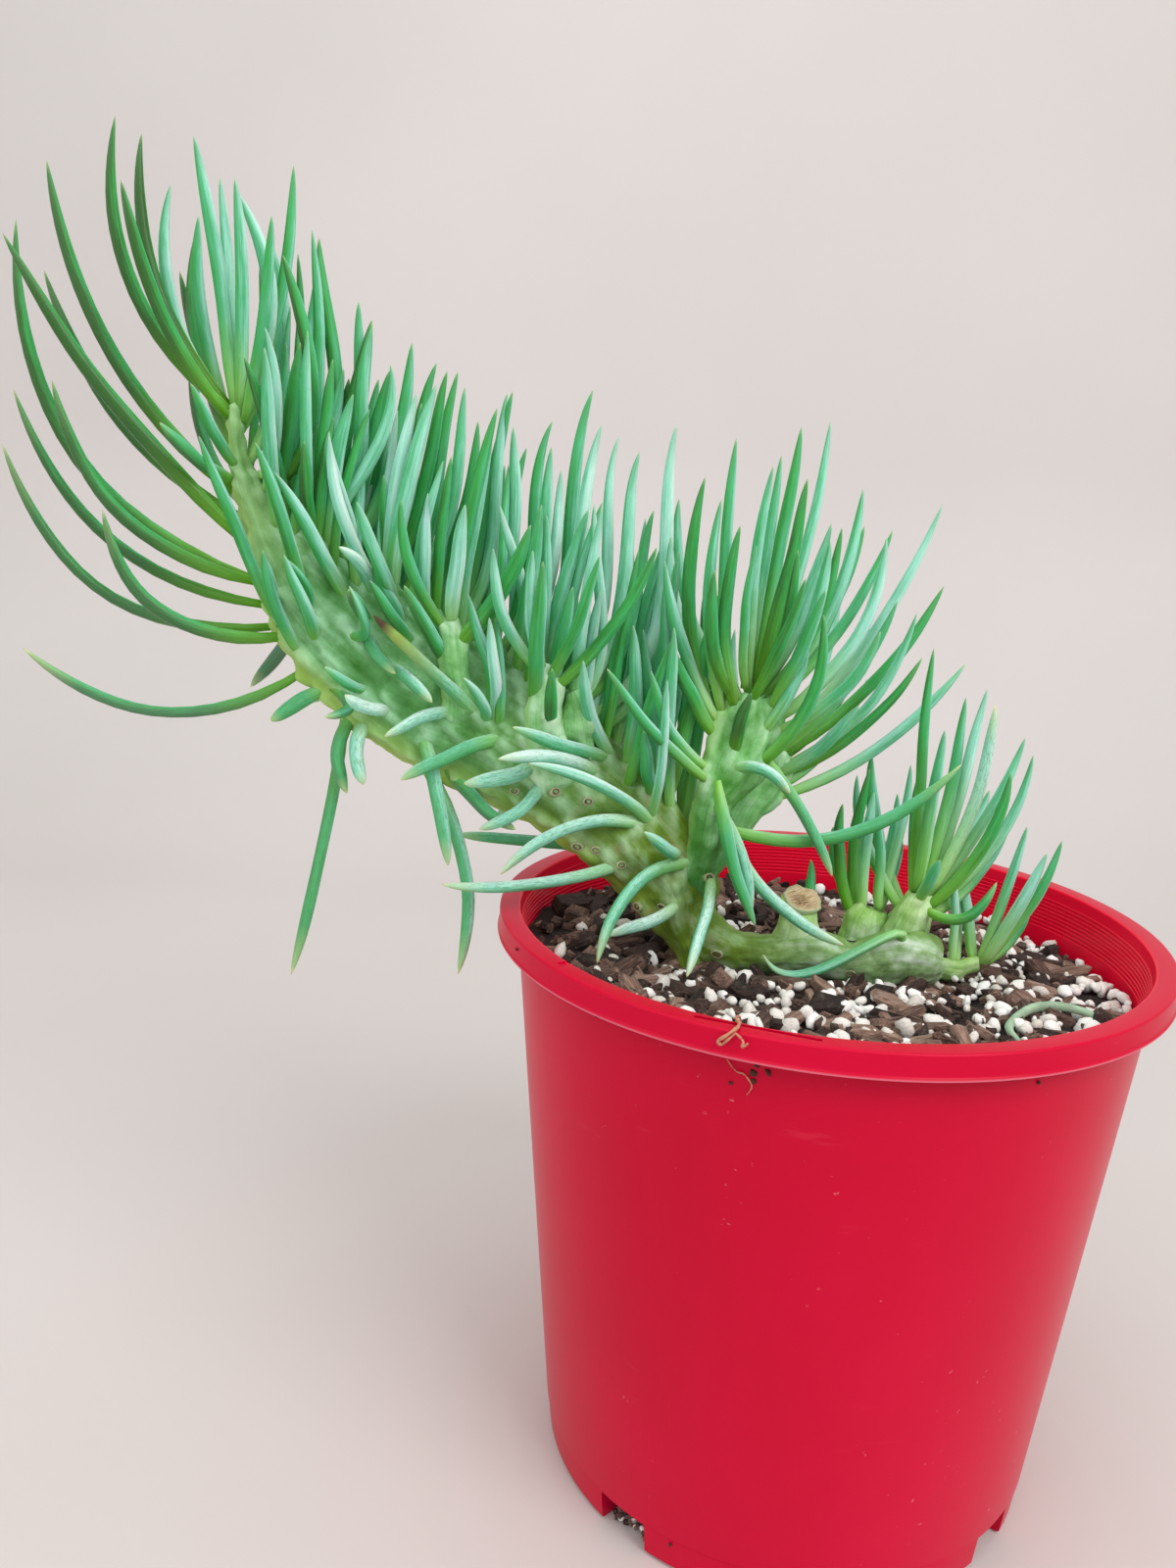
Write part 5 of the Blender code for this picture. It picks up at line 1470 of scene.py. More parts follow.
# Bark that stands out: its middle, length, width, height, turn and lean in degrees, and tone
LARGE_CHIPS = [
    ((-77.0, 27.0, 165.0), 15.0, 12.0, 8.0, 20.0, 12.0, 0.2),
    ((-71.0, 12.0, 163.5), 16.0, 7.0, 4.0, 70.0, -8.0, 0.3),
    ((-2.0, -57.5, 163.6), 20.0, 6.0, 2.6, -12.0, 4.0, 0.95),
    ((-30.0, -47.0, 162.6), 24.0, 4.0, 2.4, -28.0, 6.0, 0.55),
    ((-12.0, -38.0, 162.4), 26.0, 3.4, 2.2, -18.0, -5.0, 0.7),
    ((-44.0, -33.0, 162.8), 22.0, 4.6, 2.6, -40.0, 8.0, 0.35),
    ((14.0, -45.0, 161.8), 24.0, 5.0, 2.6, -8.0, -6.0, 0.4),
    ((30.0, -62.0, 161.6), 20.0, 8.0, 3.0, 16.0, 5.0, 0.6),
    ((52.0, -52.0, 160.8), 17.0, 8.0, 3.4, -30.0, -8.0, 0.5),
    ((66.0, -22.0, 160.0), 18.0, 6.0, 3.0, 60.0, 7.0, 0.4),
    ((-55.0, -5.0, 163.5), 19.0, 5.0, 3.0, 35.0, 10.0, 0.25),
]


def bed_edge():
    return wall_radius(SOIL_LEVEL) - WALL - BED_GAP


def near_stems(x, y):
    """How near a place on the bed is to the stems, from 0 to 1 at their skin."""
    aside = max(abs(x - HOLLOW_MIDDLE[0]) - HOLLOW_HALF_SIZE[0], 0.0)
    before = max(abs(y - HOLLOW_MIDDLE[1]) - HOLLOW_HALF_SIZE[1], 0.0)
    return math.exp(-((math.hypot(aside, before) / HOLLOW_FADE) ** 2))


def bed_height(x, y):
    """Height of the fine bark between the chips, banked up a little at the left and front wall."""
    reach = math.hypot(x, y) / bed_edge()
    side = max(0.0, -(x + 0.55 * y) / max(1.0, math.hypot(x, y)))
    bank = BED_BANK * side * max(0.0, reach - BANK_START) / (1.0 - BANK_START)
    rough = noise.noise(Vector((x, y, 3.0)) / LUMP_SIZE) + noise.noise(Vector((x, y, 9.0)) / CRUMB_SIZE) * 0.5
    return soil_height(x, y) - BED_DROP + bank + rough - STEM_HOLLOW * near_stems(x, y)


def make_bed():
    """The fine bark as one closed body, with recesses over the pockets in the pot's floor."""
    points = [Vector((0.0, 0.0, bed_height(0.0, 0.0)))]
    for ring in range(1, BED_RINGS + 1):
        radius = bed_edge() * ring / BED_RINGS
        for turn in turns(BED_SIDES):
            x, y = radius * math.cos(turn), radius * math.sin(turn)
            points.append(Vector((x, y, bed_height(x, y))))
    bottom = FLOOR + BED_ROOM
    foot = wall_radius(bottom) - WALL - BED_ROOM
    points += [Vector((foot * math.cos(turn), foot * math.sin(turn), bottom)) for turn in turns(BED_SIDES)]
    faces = [(0, 1 + side, 1 + (side + 1) % BED_SIDES) for side in range(BED_SIDES)]
    faces += ring_faces(BED_RINGS + 1, BED_SIDES, 1)
    faces.append(tuple(reversed(range(len(points) - BED_SIDES, len(points)))))
    gathered = Gathered()
    gathered.add(points, faces)
    bed = gathered.built("soil_bed", earth_material())
    size = (NOTCH_WIDTH + 4.0 * POCKET_WALL, -FLOOR, NOTCH_HEIGHT + 2.0 * POCKET_WALL)
    inner = NOTCH_INNER_RADIUS - 3.0 * POCKET_WALL
    combined(bed, "DIFFERENCE", [(angle, inner, RIM_RADIUS, *size) for angle in notch_angles()])
    return bed


def scatter_place(draw, reach):
    radius = reach * math.sqrt(draw.random())
    turn = draw.uniform(0.0, math.tau)
    return radius * math.cos(turn), radius * math.sin(turn)


def paler_place(draw, reach):
    """A place for perlite, of which there is more towards the right and the front."""
    while True:
        x, y = scatter_place(draw, reach)
        if 0.6 + 0.5 * (x - 0.4 * y) / reach > draw.random():
            return x, y


def tumbled(draw, lean):
    """A turn all the way round the upright, then a lean about each of the other two axes."""
    turn = Matrix.Rotation(draw.uniform(0.0, math.tau), 4, "Z")
    turn = turn @ Matrix.Rotation(draw.gauss(0.0, lean), 4, "X")
    return turn @ Matrix.Rotation(draw.gauss(0.0, lean), 4, "Y")


def add_chip(gathered, draw, centre, length, width, height, lean, tone):
    """An angular flake of bark: an uneven outline, split at its ends, with a smaller top and bottom."""
    turn = lean if isinstance(lean, Matrix) else tumbled(draw, lean)
    spread = [draw.uniform(0.68, 1.12) for _ in range(CHIP_SIDES)]
    corners = sorted(draw.uniform(0.0, 1.0) for _ in range(CHIP_SIDES))
    seed = noise_seed(draw)
    slope = draw.uniform(-0.3, 0.3)
    places = []
    for level, share in CHIP_LEVELS:
        for side in range(CHIP_SIDES):
            around = math.tau * (0.5 * corners[side] + 0.5 * (side + 0.5) / CHIP_SIDES)
            far = spread[side] * share
            x, y = [
                math.copysign(abs(way) ** CHIP_SQUARENESS, way) * size / 2.0 * far
                for way, size in ((math.cos(around), length), (math.sin(around), width))
            ]
            rough = 0.25 * noise.noise(seed + Vector((x, y, level)) / 2.5)
            places.append(Vector((x, y, height * (level + slope * x / length + rough))))
    points = [centre + turn @ place for place in places]
    flow = [seed + place * 0.55 for place in places]
    gathered.add(points, tube_faces(len(CHIP_LEVELS), CHIP_SIDES), flow, [(0.0, tone, 0.0)] * len(points))


def round_shape():
    """Points and faces of a ball of one millimetre's radius."""
    bm = bmesh.new()
    bmesh.ops.create_icosphere(bm, subdivisions=2, radius=1.0)
    bm.verts.ensure_lookup_table()
    points = [vertex.co.copy() for vertex in bm.verts]
    faces = [tuple(vertex.index for vertex in face.verts) for face in bm.faces]
    bm.free()
    return points, faces


BALL_POINTS, BALL_FACES = round_shape()


def add_grain(gathered, draw, centre, radius, tone):
    """A popped, rounded grain."""
    turn = tumbled(draw, 1.0)
    seed = noise_seed(draw)
    squash = Vector((1.12, draw.uniform(0.66, 1.0), draw.uniform(0.6, 0.95)))
    points, flow = [], []
    for point in BALL_POINTS:
        rough = 0.34 * noise.noise(seed + point * 1.1) + 0.1 * noise.noise(seed + point * 3.0)
        points.append(centre + turn @ (point * squash * (radius * (1.0 + rough))))
        flow.append(seed + point * radius * 0.6)
    gathered.add(points, BALL_FACES, flow, [(0.0, tone, 0.0)] * len(points))


def make_bits():
    """Bark chips of all sizes, and perlite as single grains and as clusters, piled on the bed."""
    draw = random.Random(SEED + 7)
    chips, grains = Gathered(), Gathered()
    for index in range(CHIP_COUNT):
        large = draw.random() ** 1.9
        length = SHORTEST_CHIP + CHIP_LENGTH_SPREAD * large
        width = length * draw.uniform(0.18, 0.5)
        x, y = scatter_place(draw, bed_edge() - length * 0.46)
        centre = Vector((x, y, bed_height(x, y) + draw.uniform(0.4, 2.2)))
        height = 1.2 + 2.2 * large + draw.uniform(0.0, 0.8)
        add_chip(chips, draw, centre, length, width, height, 0.3, draw.random())
    for index in range(GRAIN_COUNT):
        radius = SMALLEST_GRAIN + GRAIN_SPREAD * draw.random() ** 1.8
        x, y = paler_place(draw, bed_edge() - radius)
        centre = Vector((x, y, bed_height(x, y) + draw.uniform(1.0, 2.8)))
        add_grain(grains, draw, centre, radius, draw.random())
    for index in range(CLUSTER_COUNT):
        x, y = paler_place(draw, bed_edge() - 4.0)
        middle = Vector((x, y, bed_height(x, y) + 1.6))
        for _ in range(draw.randint(4, 9)):
            aside = [draw.gauss(0.0, CLUSTER_SPREAD), draw.gauss(0.0, CLUSTER_SPREAD)]
            place = middle + Vector((*aside, draw.uniform(-0.6, 1.3)))
            if math.hypot(place.x, place.y) < bed_edge() - 2.0:
                add_grain(grains, draw, place, draw.uniform(0.8, 2.1), draw.uniform(0.4, 1.0))
    for centre, length, width, height, turn, lean, tone in LARGE_CHIPS:
        set_so = Matrix.Rotation(math.radians(turn), 4, "Z") @ Matrix.Rotation(math.radians(lean), 4, "X")
        add_chip(chips, draw, Vector(centre), length, width, height, set_so, tone)
    chips = chips.built("bark_chips", bark_material(), CHIP_SHARP_ANGLE)
    return chips, grains.built("perlite_grains", perlite_material())


# Dirt on the pot

# A dried rootlet over the rim and a hair on the wall: angle in degrees, radius and height
ROOTLET = [
    (-112.6, 89.0, 171.0),
    (-112.6, 91.5, 177.2),
    (-113.0, 93.2, 177.7),
    (-112.0, 95.8, 177.8),
    (-111.8, 99.4, 178.0),
    (-112.9, 100.6, 176.2),
    (-114.0, 100.7, 174.4),
    (-113.5, 100.7, 173.7),
    (-112.6, 100.8, 175.4),
    (-111.7, 100.5, 177.2),
]
ROOTLET_BRANCH = [
    (-111.7, 100.5, 177.2),
    (-110.6, 100.8, 175.7),
    (-110.6, 100.8, 174.1),
    (-109.9, 100.7, 175.4),
]
HAIR = [
    (-113.7, 94.1, 167.2),
    (-112.2, 93.9, 164.6),
    (-111.0, 93.9, 164.3),
    (-110.1, 93.6, 162.7),
    (-109.7, 93.5, 161.1),
    (-110.4, 93.2, 158.7),
]
# Crumbs: angle, radius, height and size
CRUMBS = [
    (-109.2, 93.7, 166.9, 0.7),
    (-107.4, 93.5, 165.6, 0.9),
    (-109.6, 93.5, 164.8, 1.0),
    (-109.5, 93.3, 162.7, 0.7),
    (-112.9, 93.1, 160.8, 0.6),
    (-157.3, 99.8, 174.6, 0.5),
    (-137.7, 93.6, 166.6, 0.6),
    (-103.0, 77.6, 5.5, 0.6),
    (-96.0, 77.9, 8.0, 0.5),
    (-88.0, 78.3, 12.0, 0.5),
    (-121.0, 77.9, 9.0, 0.6),
    (-80.0, 77.8, 7.0, 0.4),
    (-71.0, 93.6, 167.0, 0.5),
    (-66.0, 93.4, 165.0, 0.7),
]
DRAIN_BITS = 34
DRAIN_RADII = (64.4, 67.6)
SPILLED_BITS = 46
SPILL_RADIUS = 66.5
SPILL_REACH = 7.0
SPILL_HEIGHT = 5.0
STRAND_STEP = 0.1
STRAND_SIDES = 8


def round_pot(angle, radius, height):
    turn = math.radians(angle)
    return Vector((radius * math.cos(turn), radius * math.sin(turn), height))


def add_strand(gathered, places, radius):
    """A thin strand through places round the pot, thinner at both its ends."""
    knots = [round_pot(*place) for place in places]
    last = len(knots) - 1
    rings = int(round(last / STRAND_STEP)) + 1
    points = []
    for ring in range(rings):
        at = min(last, ring * STRAND_STEP)
        ahead = mixed(knots, min(at + STRAND_STEP, last)) - mixed(knots, max(at - STRAND_STEP, 0))
        ahead.normalize()
        side = ahead.orthogonal().normalized()
        through = side.cross(ahead)
        thick = radius * (0.5 + 0.5 * math.sin(math.pi * at / last)) * (1.0 + 0.2 * math.sin(at * 5.0))
        for turn in turns(STRAND_SIDES):
            points.append(mixed(knots, at) + (side * math.cos(turn) + through * math.sin(turn)) * thick)
    gathered.add(points, outward(tube_faces(rings, STRAND_SIDES), points, knots[0]))


def make_dirt():
    """The strands and crumbs on the pot, and bits of mix in its drain holes and front notch."""
    draw = random.Random(SEED + 40)
    strands, crumbs, bark, perlite = [Gathered() for _ in range(4)]
    for places, radius in ((ROOTLET, 0.45), (ROOTLET_BRANCH, 0.35), (HAIR, 0.2)):
        add_strand(strands, places, radius)
    for *place, size in CRUMBS:
        add_chip(crumbs, draw, round_pot(*place), 2.4 * size, 1.5 * size, 1.4 * size, 0.7, 0.3)
    for notch in notch_angles():
        for _ in range(DRAIN_BITS):
            place = Vector((draw.uniform(*DRAIN_RADII), draw.uniform(-0.5, 0.5) * DRAIN_WIDTH, 0.0))
            place = Matrix.Rotation(notch, 3, "Z") @ place
            place.z = draw.uniform(DRAIN_BOTTOM, DRAIN_TOP)
            kind = draw.choice((bark, bark, perlite))
            add_grain(kind, draw, place, draw.uniform(0.7, 1.3), draw.random())
    for _ in range(SPILLED_BITS):
        out = draw.random()
        place = Vector((SPILL_RADIUS + SPILL_REACH * out, draw.uniform(-0.42, 0.36) * NOTCH_WIDTH, 0.0))
        place = Matrix.Rotation(FIRST_NOTCH, 3, "Z") @ place
        size = draw.uniform(0.6, 1.1)
        place.z = 1.3 * size + draw.random() * SPILL_HEIGHT * (1.0 - out)
        add_grain(draw.choice((bark, bark, bark, perlite)), draw, place, size, draw.random())
    return (
        strands.built("rootlet", plain_material("rootlet", (206, 142, 110), 0.7)),
        crumbs.built("crumbs", plain_material("crumbs", (84, 48, 34), 0.9)),
        bark.built("drain_bark", bark_material()),
        perlite.built("drain_perlite", perlite_material()),
    )


# Plant

# Which leaves are the end shoot's, which of those arch over, and which are the fan's
SHOOT_SIDE = -150.0
ARCHING_REACH = 22.0
FAN_SIDE = -52.0
FINE_CROSSING = -1.6
CREST_FLARE = 0.25
CREEPER_FLARE = 0.35

# Bloom: its range by kind of leaf, and how much deeper it is on limp and on the fan's leaves
ARCHING_TONES = (-0.24, 0.04)
SHOOT_TONES = (0.12, 0.6)
LEAF_TONES = (0.24, 0.80)
LIMP_RISE = 0.4
LIMP_DEEPER = 0.08
FAN_DEEPER = 0.08
DARK_TONE = 0.06
WITHERED_TONE = 0.8

# Dryness: from that of an upright leaf to that of a brown tip
FRESH = 0.08
HANGING_DRYNESS = 0.95
DRYNESS_BY_RISE = 1.1
WITHERED = 1.1
BURNT = 1.5

# Tips, as seen, of leaves that are dark, have withered, or have dried brown
TIP_REACH = 4.0
DARK_TIPS = [(-28, 244)]
WITHERED_TIPS = [(44, 244)]
BURNT_TIPS = [(-140, 261)]

# The crest's skin, slimmer than its solid along the end shoot
SHOWN_CREST = CREST[:13] + [
    ((-172, 264), (-165, 287), 5.0),
    ((-176, 279), (-170, 290), 4.0),
    ((-180, 294), (-174, 299), 3.2),
    ((-181, 306), (-177, 308), 2.6),
    ((-180, 317), (-179, 318), 1.2),
]
# Skins that start further inside their stem than its solid does, so that they grow out of it
SHOWN_BRANCHES = {
    "fan_skin": [
        ((-43, 174), 5.0, 5.0, 3),
        ((-41, 184), 5.8, 5.2, -1),
        ((-39, 197), 5.5, 5.0, -4),
        ((-38, 207), 5.9, 4.8, -5),
        ((-34.5, 215), 8.0, 4.8, -7),
        ((-31.5, 222), 10.0, 4.6, -8),
        ((-29, 229), 10.3, 4.2, -8),
        ((-27.5, 236), 9.6, 3.6, -8),
        ((-27, 243), 5.6, 2.4, -8),
    ],
    "rear_lobe_skin": REAR_LOBE,
    "left_fold_skin": [((-111, 220), 6.0, 5.0, 2), ((-113, 230), 6.0, 5.0, -2.5)] + LEFT_FOLD[1:],
    "middle_fold_skin": [((-80, 198), 8.0, 5.0, 2), ((-83.5, 209), 7.8, 5.0, -2.5)] + MIDDLE_FOLD[1:],
    "small_fold_skin": [
        ((-77, 216), 4.5, 4.0, 1),
        ((-78, 224), 5.0, 4.0, -4),
        ((-79, 231), 5.4, 3.6, -8),
        ((-80, 237), 4.2, 2.4, -10),
        ((-81, 241), 1.6, 1.0, -10),
    ],
}
SHOWN_CREEPER = [
    ((-50, 190), 8.0, 6.0, 1),
    ((-46, 182), 8.5, 6.5, 0),
    ((-42.5, 174), 9.0, 7.5, -0.5),
    ((-37, 167.5), 9.0, 8.5, -1.5),
    ((-30, 164), 8.0, 9.0, -2.5),
    ((-21, 162.5), 7.4, 9.5, -3.5),
    ((-11, 163), 8.0, 10.0, -4),
    ((0, 163), 9.0, 11.0, -4),
    ((9, 161), 8.2, 10.5, -4),
    ((19, 163), 9.8, 11.5, -4),
    ((28, 164), 9.8, 11.5, -4),
    ((35, 163), 8.0, 9.5, -4),
    ((38, 163), 4.5, 6.0, -4),
]
SHOWN_SECOND_OFFSET = [((24, 168), 8.6, 7.6, -1), ((26.6, 178), 6.4, 6.2, -1), ((28.4, 185), 3.8, 3.6, -1)]
SHOWN_THIRD_OFFSET = [((32, 162), 4.2, 4.2, 0), ((42, 160.5), 3.2, 3.4, 0), ((49, 163), 2.2, 2.4, 0)]
SHOWN_STUMP = [
    ((-8, 160), 12.0, 9.0, -3),
    ((-8, 168), 9.0, 7.4, -4),
    ((-8, 175), 6.4, 6.0, -5),
    ((-8, 183), 5.8, 5.6, -5),
]

# Deep, middle and pale colours of the skins
TRUNK_SHADES = ((68, 98, 0), (106, 138, 42), (164, 200, 152))
CREST_SHADES = ((58, 124, 42), (98, 164, 94), (164, 216, 172))
FOLD_SHADES = ((86, 160, 66), (140, 202, 134), (200, 236, 198))
CREEPER_SHADES = ((64, 98, 14), (142, 180, 122), (212, 230, 216))
OFFSET_SHADES = ((84, 134, 30), (140, 188, 92), (194, 224, 168))
# Shares of fine streaks, broad streaks and clouds in a skin
STREAKED = (0.20, 0.38, 0.42)
CLOUDY = (0.15, 0.3, 0.55)
# How far the skins stand out in lobes, and how pale they are
CREST_LOBES = 0.7
CREST_TONE = 0.47
FOLD_LOBES = 0.3
FOLD_TONE = 0.45
FOLD_TONES = {"fan_skin": 0.38, "middle_fold_skin": 0.55}
LOW_LOBES = 0.45
LOW_TONE = 0.515
STUMP_LOBES = 0.2
STUMP_TONE = 0.56
FACE_KNOBS = 70

# Leaf scars on the trunk, as seen, and the share and lift of each ring of a scar
SCARS = [
    (-96.6, 210.5), (-84.3, 210.9), (-74.4, 208.4), (-77.0, 194.2), (-71.1, 193.3), (-63.3, 189.1),
    (-57.6, 176.1), (-50.1, 176.5), (-32.2, 162.2), (-36.4, 186.6), (9.5, 158.3),
]
SCAR_RADIUS = 1.9
SCAR_SIDES = 16
SCAR_RINGS = ((0.35, -0.05), (0.6, 0.4), (0.8, 0.35), (1.0, -0.5))
SCAR_DEPTH = -0.1
SCAR_STRETCH = Vector((1.1, 0.85, 0.0))

# A cut leaf lodged before the fan
LODGED_LEAF = [((-36, 217), -17), ((-31, 197), -21), ((-21, 172), -24)]
LODGED_HALF_WIDTH = 1.9
LODGED_TONE = 0.36
LODGED_DRYNESS = 0.3

# Finer leaves before the fan and the crest
FAN_FRONT_LEAVES = [
    ((-32, 222), (-31, 232), (-28, 244), -16),
    ((-28, 221), (-13, 237), (-9, 268), -20),
    ((-24, 230), (-17, 243), (-13, 262), -17),
]
CREST_FRONT_LEAVES = [
    ((-161, 248), (-169, 263), (-172, 278), -20),
    ((-155, 253), (-160, 262), (-166, 277), -24),
    ((-149, 252), (-142, 258), (-147, 269), -21),
    ((-128, 252), (-135, 262), (-141, 271), -16),
    ((-128, 254), (-135, 266), (-141, 278), -12),
    ((-144, 257), (-139, 250), (-133, 244), -14),
    ((-134, 247), (-128, 242), (-122, 236), -19),
    ((-141, 239), (-148, 241), (-154, 245), -16),
    ((-133, 237), (-143, 234), (-148, 237), -18),
    ((-151, 241), (-147, 232), (-154, 230), -14),
    ((-102, 233), (-103, 248), (-104, 262), -18),
    ((-104, 232), (-108, 238), (-113, 244), -22),
]

# The stump's cut: its middle, the way it faces, and the share and lift of each ring
CUT_PLACE = placed((-7.4, 181.4), -5.0)
CUT_FACING = Vector((0.30, -0.42, 0.86)).normalized()
CUT_RADIUS = 5.6
CUT_SIDES = 32
CUT_STRETCH = Vector((1.15, 0.92, 0.0))
CUT_ROUGHNESS = 0.16
CUT_LIFT = 0.7
CUT_RINGS = ((0.2, -0.9), (0.45, -0.8), (0.7, -0.35), (0.88, 0.25), (1.0, 0.35), (1.06, -0.2), (1.0, -1.4))


def tip_in(leaf, places):
    """Whether the leaf's tip, as seen, is at one of the places."""
    end = leaf[0][-1]
    tip = EYE + (end - EYE) * (-EYE.y / (end.y - EYE.y))
    return any(abs(tip.x - x) + abs(tip.z - z) < TIP_REACH for x, z in places)


def leaf_rise(leaf):
    """How steeply a leaf rises from its root to its tip, from -1 to 1."""
    return (leaf[0][-1].z - leaf[0][0].z) / leaf_length(leaf)


def bloom_tone(leaf, draw):
    """How pale a leaf's bloom is: the arching leaves of the end shoot are the darkest."""
    root, tip = leaf[0][0], leaf[0][-1]
    if tip_in(leaf, DARK_TIPS):
        return DARK_TONE
    if tip_in(leaf, WITHERED_TIPS):
        return WITHERED_TONE
    if root.x < SHOOT_SIDE:
        return draw.uniform(*(ARCHING_TONES if tip.x - root.x < -ARCHING_REACH else SHOOT_TONES))
    rise = leaf_rise(leaf)
    tone = draw.uniform(*LEAF_TONES) - LIMP_DEEPER * max(0.0, LIMP_RISE - rise)
    return tone - (FAN_DEEPER if root.x > FAN_SIDE and rise > 0.0 else 0.0)


def withered(leaf):
    """How far a leaf has withered, read from how it hangs, from FRESH to BURNT."""
    if tip_in(leaf, BURNT_TIPS):
        return BURNT
    if tip_in(leaf, WITHERED_TIPS):
        return WITHERED
    return max(FRESH, min(1.0, HANGING_DRYNESS - DRYNESS_BY_RISE * leaf_rise(leaf)))


def face_knobs(draw):
    """Low knobs on the front of the crest, each the foot of a leaf that has gone."""
    spots = []
    for _ in range(FACE_KNOBS):
        at = draw.uniform(2.5, 12.5)
        spots.append(crest_point(at, math.radians(draw.uniform(-150.0, -40.0))))
    return spots


def make_scars(skins):
    """A shallow ringed scar on whichever skin the eye meets first at each seen place."""
    gathered = Gathered()
    points, faces = [], []
    for skin in skins:
        first = len(points)
        points += [vertex.co / MM for vertex in skin.data.vertices]
        faces += [tuple(first + corner for corner in face.vertices) for face in skin.data.polygons]
    tree = BVHTree.FromPolygons(points, faces)
    middle = len(SCAR_RINGS) * SCAR_SIDES
    faces = [(side, (side + 1) % SCAR_SIDES, middle) for side in range(SCAR_SIDES)]
    faces += ring_faces(len(SCAR_RINGS), SCAR_SIDES)
    for index, seen in enumerate(SCARS):
        place, normal, _, _ = tree.ray_cast(EYE, (placed(seen, 0.0) - EYE).normalized())
        if place is None:
            continue
        turn = normal.to_track_quat("Z", "Y")
        size = SCAR_RADIUS * (0.85 + 0.3 * ((index * GOLDEN_SHARE) % 1.0))
        ringed, look = [], []
        for share, lift in SCAR_RINGS:
            for around in turns(SCAR_SIDES):
                out = Vector((math.cos(around), math.sin(around), 0.0)) * SCAR_STRETCH * share * size
                ringed.append(place + turn @ (out + Vector((0.0, 0.0, lift))))
                look.append((share, 0.5, 0.0))
        ringed.append(place + turn @ Vector((0.0, 0.0, SCAR_DEPTH)))
        look.append((0.0, 0.5, 0.0))
        gathered.add(ringed, faces, look, look)
    return gathered.built("leaf_scars", scar_material())


def stump_point(at, turn):
    """The stump's skin, cut off by a slanting plane that faces the viewer."""
    point = branch_point(SHOWN_STUMP, at, turn)
    return point - CUT_FACING * max(0.0, (point - CUT_PLACE).dot(CUT_FACING) + 1.0)


def make_cut_face():
    """The sunken, dry face of the stump's cut."""
    turn = CUT_FACING.to_track_quat("Z", "Y")
    points, flow, look = [], [], []
    for share, lift in CUT_RINGS:
        for around in turns(CUT_SIDES):
            way = Vector((math.cos(around), math.sin(around), 0.0))
            rough = noise.noise(way * 2.0 + Vector((0.0, 0.0, share * 3.0)))
            out = way * CUT_STRETCH * CUT_RADIUS * share * (1.0 + CUT_ROUGHNESS * rough)
            points.append(CUT_PLACE + turn @ (out + Vector((0.0, 0.0, lift + CUT_LIFT * rough))))
            flow.append(out)
            look.append((share, 0.5, 0.0))
    faces = ring_faces(len(CUT_RINGS), CUT_SIDES) + [tuple(range(CUT_SIDES))]
    gathered = Gathered()
    gathered.add(points, faces, flow, look)
    return gathered.built("stump_cut", cut_material())


def gathered_leaves(upper, lower, draw):
    """The leaves of both plants in four groups: the end shoot's, the crest's, the fan's, the low ones."""
    shoot, crest, fan, low = [Gathered() for _ in range(4)]
    for leaf in upper:
        root = leaf[0][0]
        group = shoot if root.x < SHOOT_SIDE else fan if root.x > FAN_SIDE else crest
        add_leaf(group, leaf, bloom_tone(leaf, draw), withered(leaf), draw, CREST_FLARE)
    for leaf in lower:
        add_leaf(low, leaf, bloom_tone(leaf, draw), withered(leaf), draw, CREEPER_FLARE)
    lodged = ([placed(seen, depth) for seen, depth in LODGED_LEAF], LODGED_HALF_WIDTH)
    add_leaf(crest, lodged, LODGED_TONE, LODGED_DRYNESS, draw)
    return shoot, crest, fan, low


def branch_skin(name, rows, *shape):
    return stem_skin(name, partial(branch_point, rows), len(rows) - 1, *shape)


def make_upper_skins(leaves, knobs):
    """The skins of the crest, the fan, the lobe behind it and the folds."""
    crest_look = stem_material("crest_skin", TRUNK_SHADES, CREST_SHADES, (170, 202, 84),
                               (140, 112, 62), (0.22, 0.50), STREAKED, 0.5)
    fold_look = stem_material("fold_skin", CREST_SHADES, FOLD_SHADES, (160, 204, 120),
                              (128, 170, 70), (0.1, 0.45), CLOUDY)
    skins = [stem_skin("crest_skin", partial(crest_point, rows=SHOWN_CREST), len(CREST) - 1,
                       leaves, crest_look, CREST_LOBES, CREST_TONE, knobs)]
    for name, rows in SHOWN_BRANCHES.items():
        tone = FOLD_TONES.get(name, FOLD_TONE)
        skins.append(branch_skin(name, rows, leaves, fold_look, FOLD_LOBES, tone))
    return skins


def make_lower_skins(leaves):
    """The skins of the creeping stem, its offsets and the stump."""
    creeper_look = stem_material("creeper_skin", TRUNK_SHADES, CREEPER_SHADES, (112, 148, 62),
                                 (150, 140, 116), (0.36, 0.64), CLOUDY)
    offset_look = stem_material("offset_skin", CREEPER_SHADES, OFFSET_SHADES, (150, 190, 90),
                                (150, 140, 116), (0.1, 0.6), CLOUDY)
    skins = []
    for name, rows, look in (
        ("creeper_skin", SHOWN_CREEPER, creeper_look),
        ("first_offset_skin", FIRST_OFFSET, offset_look),
        ("second_offset_skin", SHOWN_SECOND_OFFSET, offset_look),
        ("third_offset_skin", SHOWN_THIRD_OFFSET, offset_look),
    ):
        skins.append(branch_skin(name, rows, leaves, look, LOW_LOBES, LOW_TONE, (), LOW_RIB_HEIGHT))
    last = len(SHOWN_STUMP) - 1
    skins.append(stem_skin("stump_skin", stump_point, last, [], offset_look, STUMP_LOBES, STUMP_TONE))
    return skins


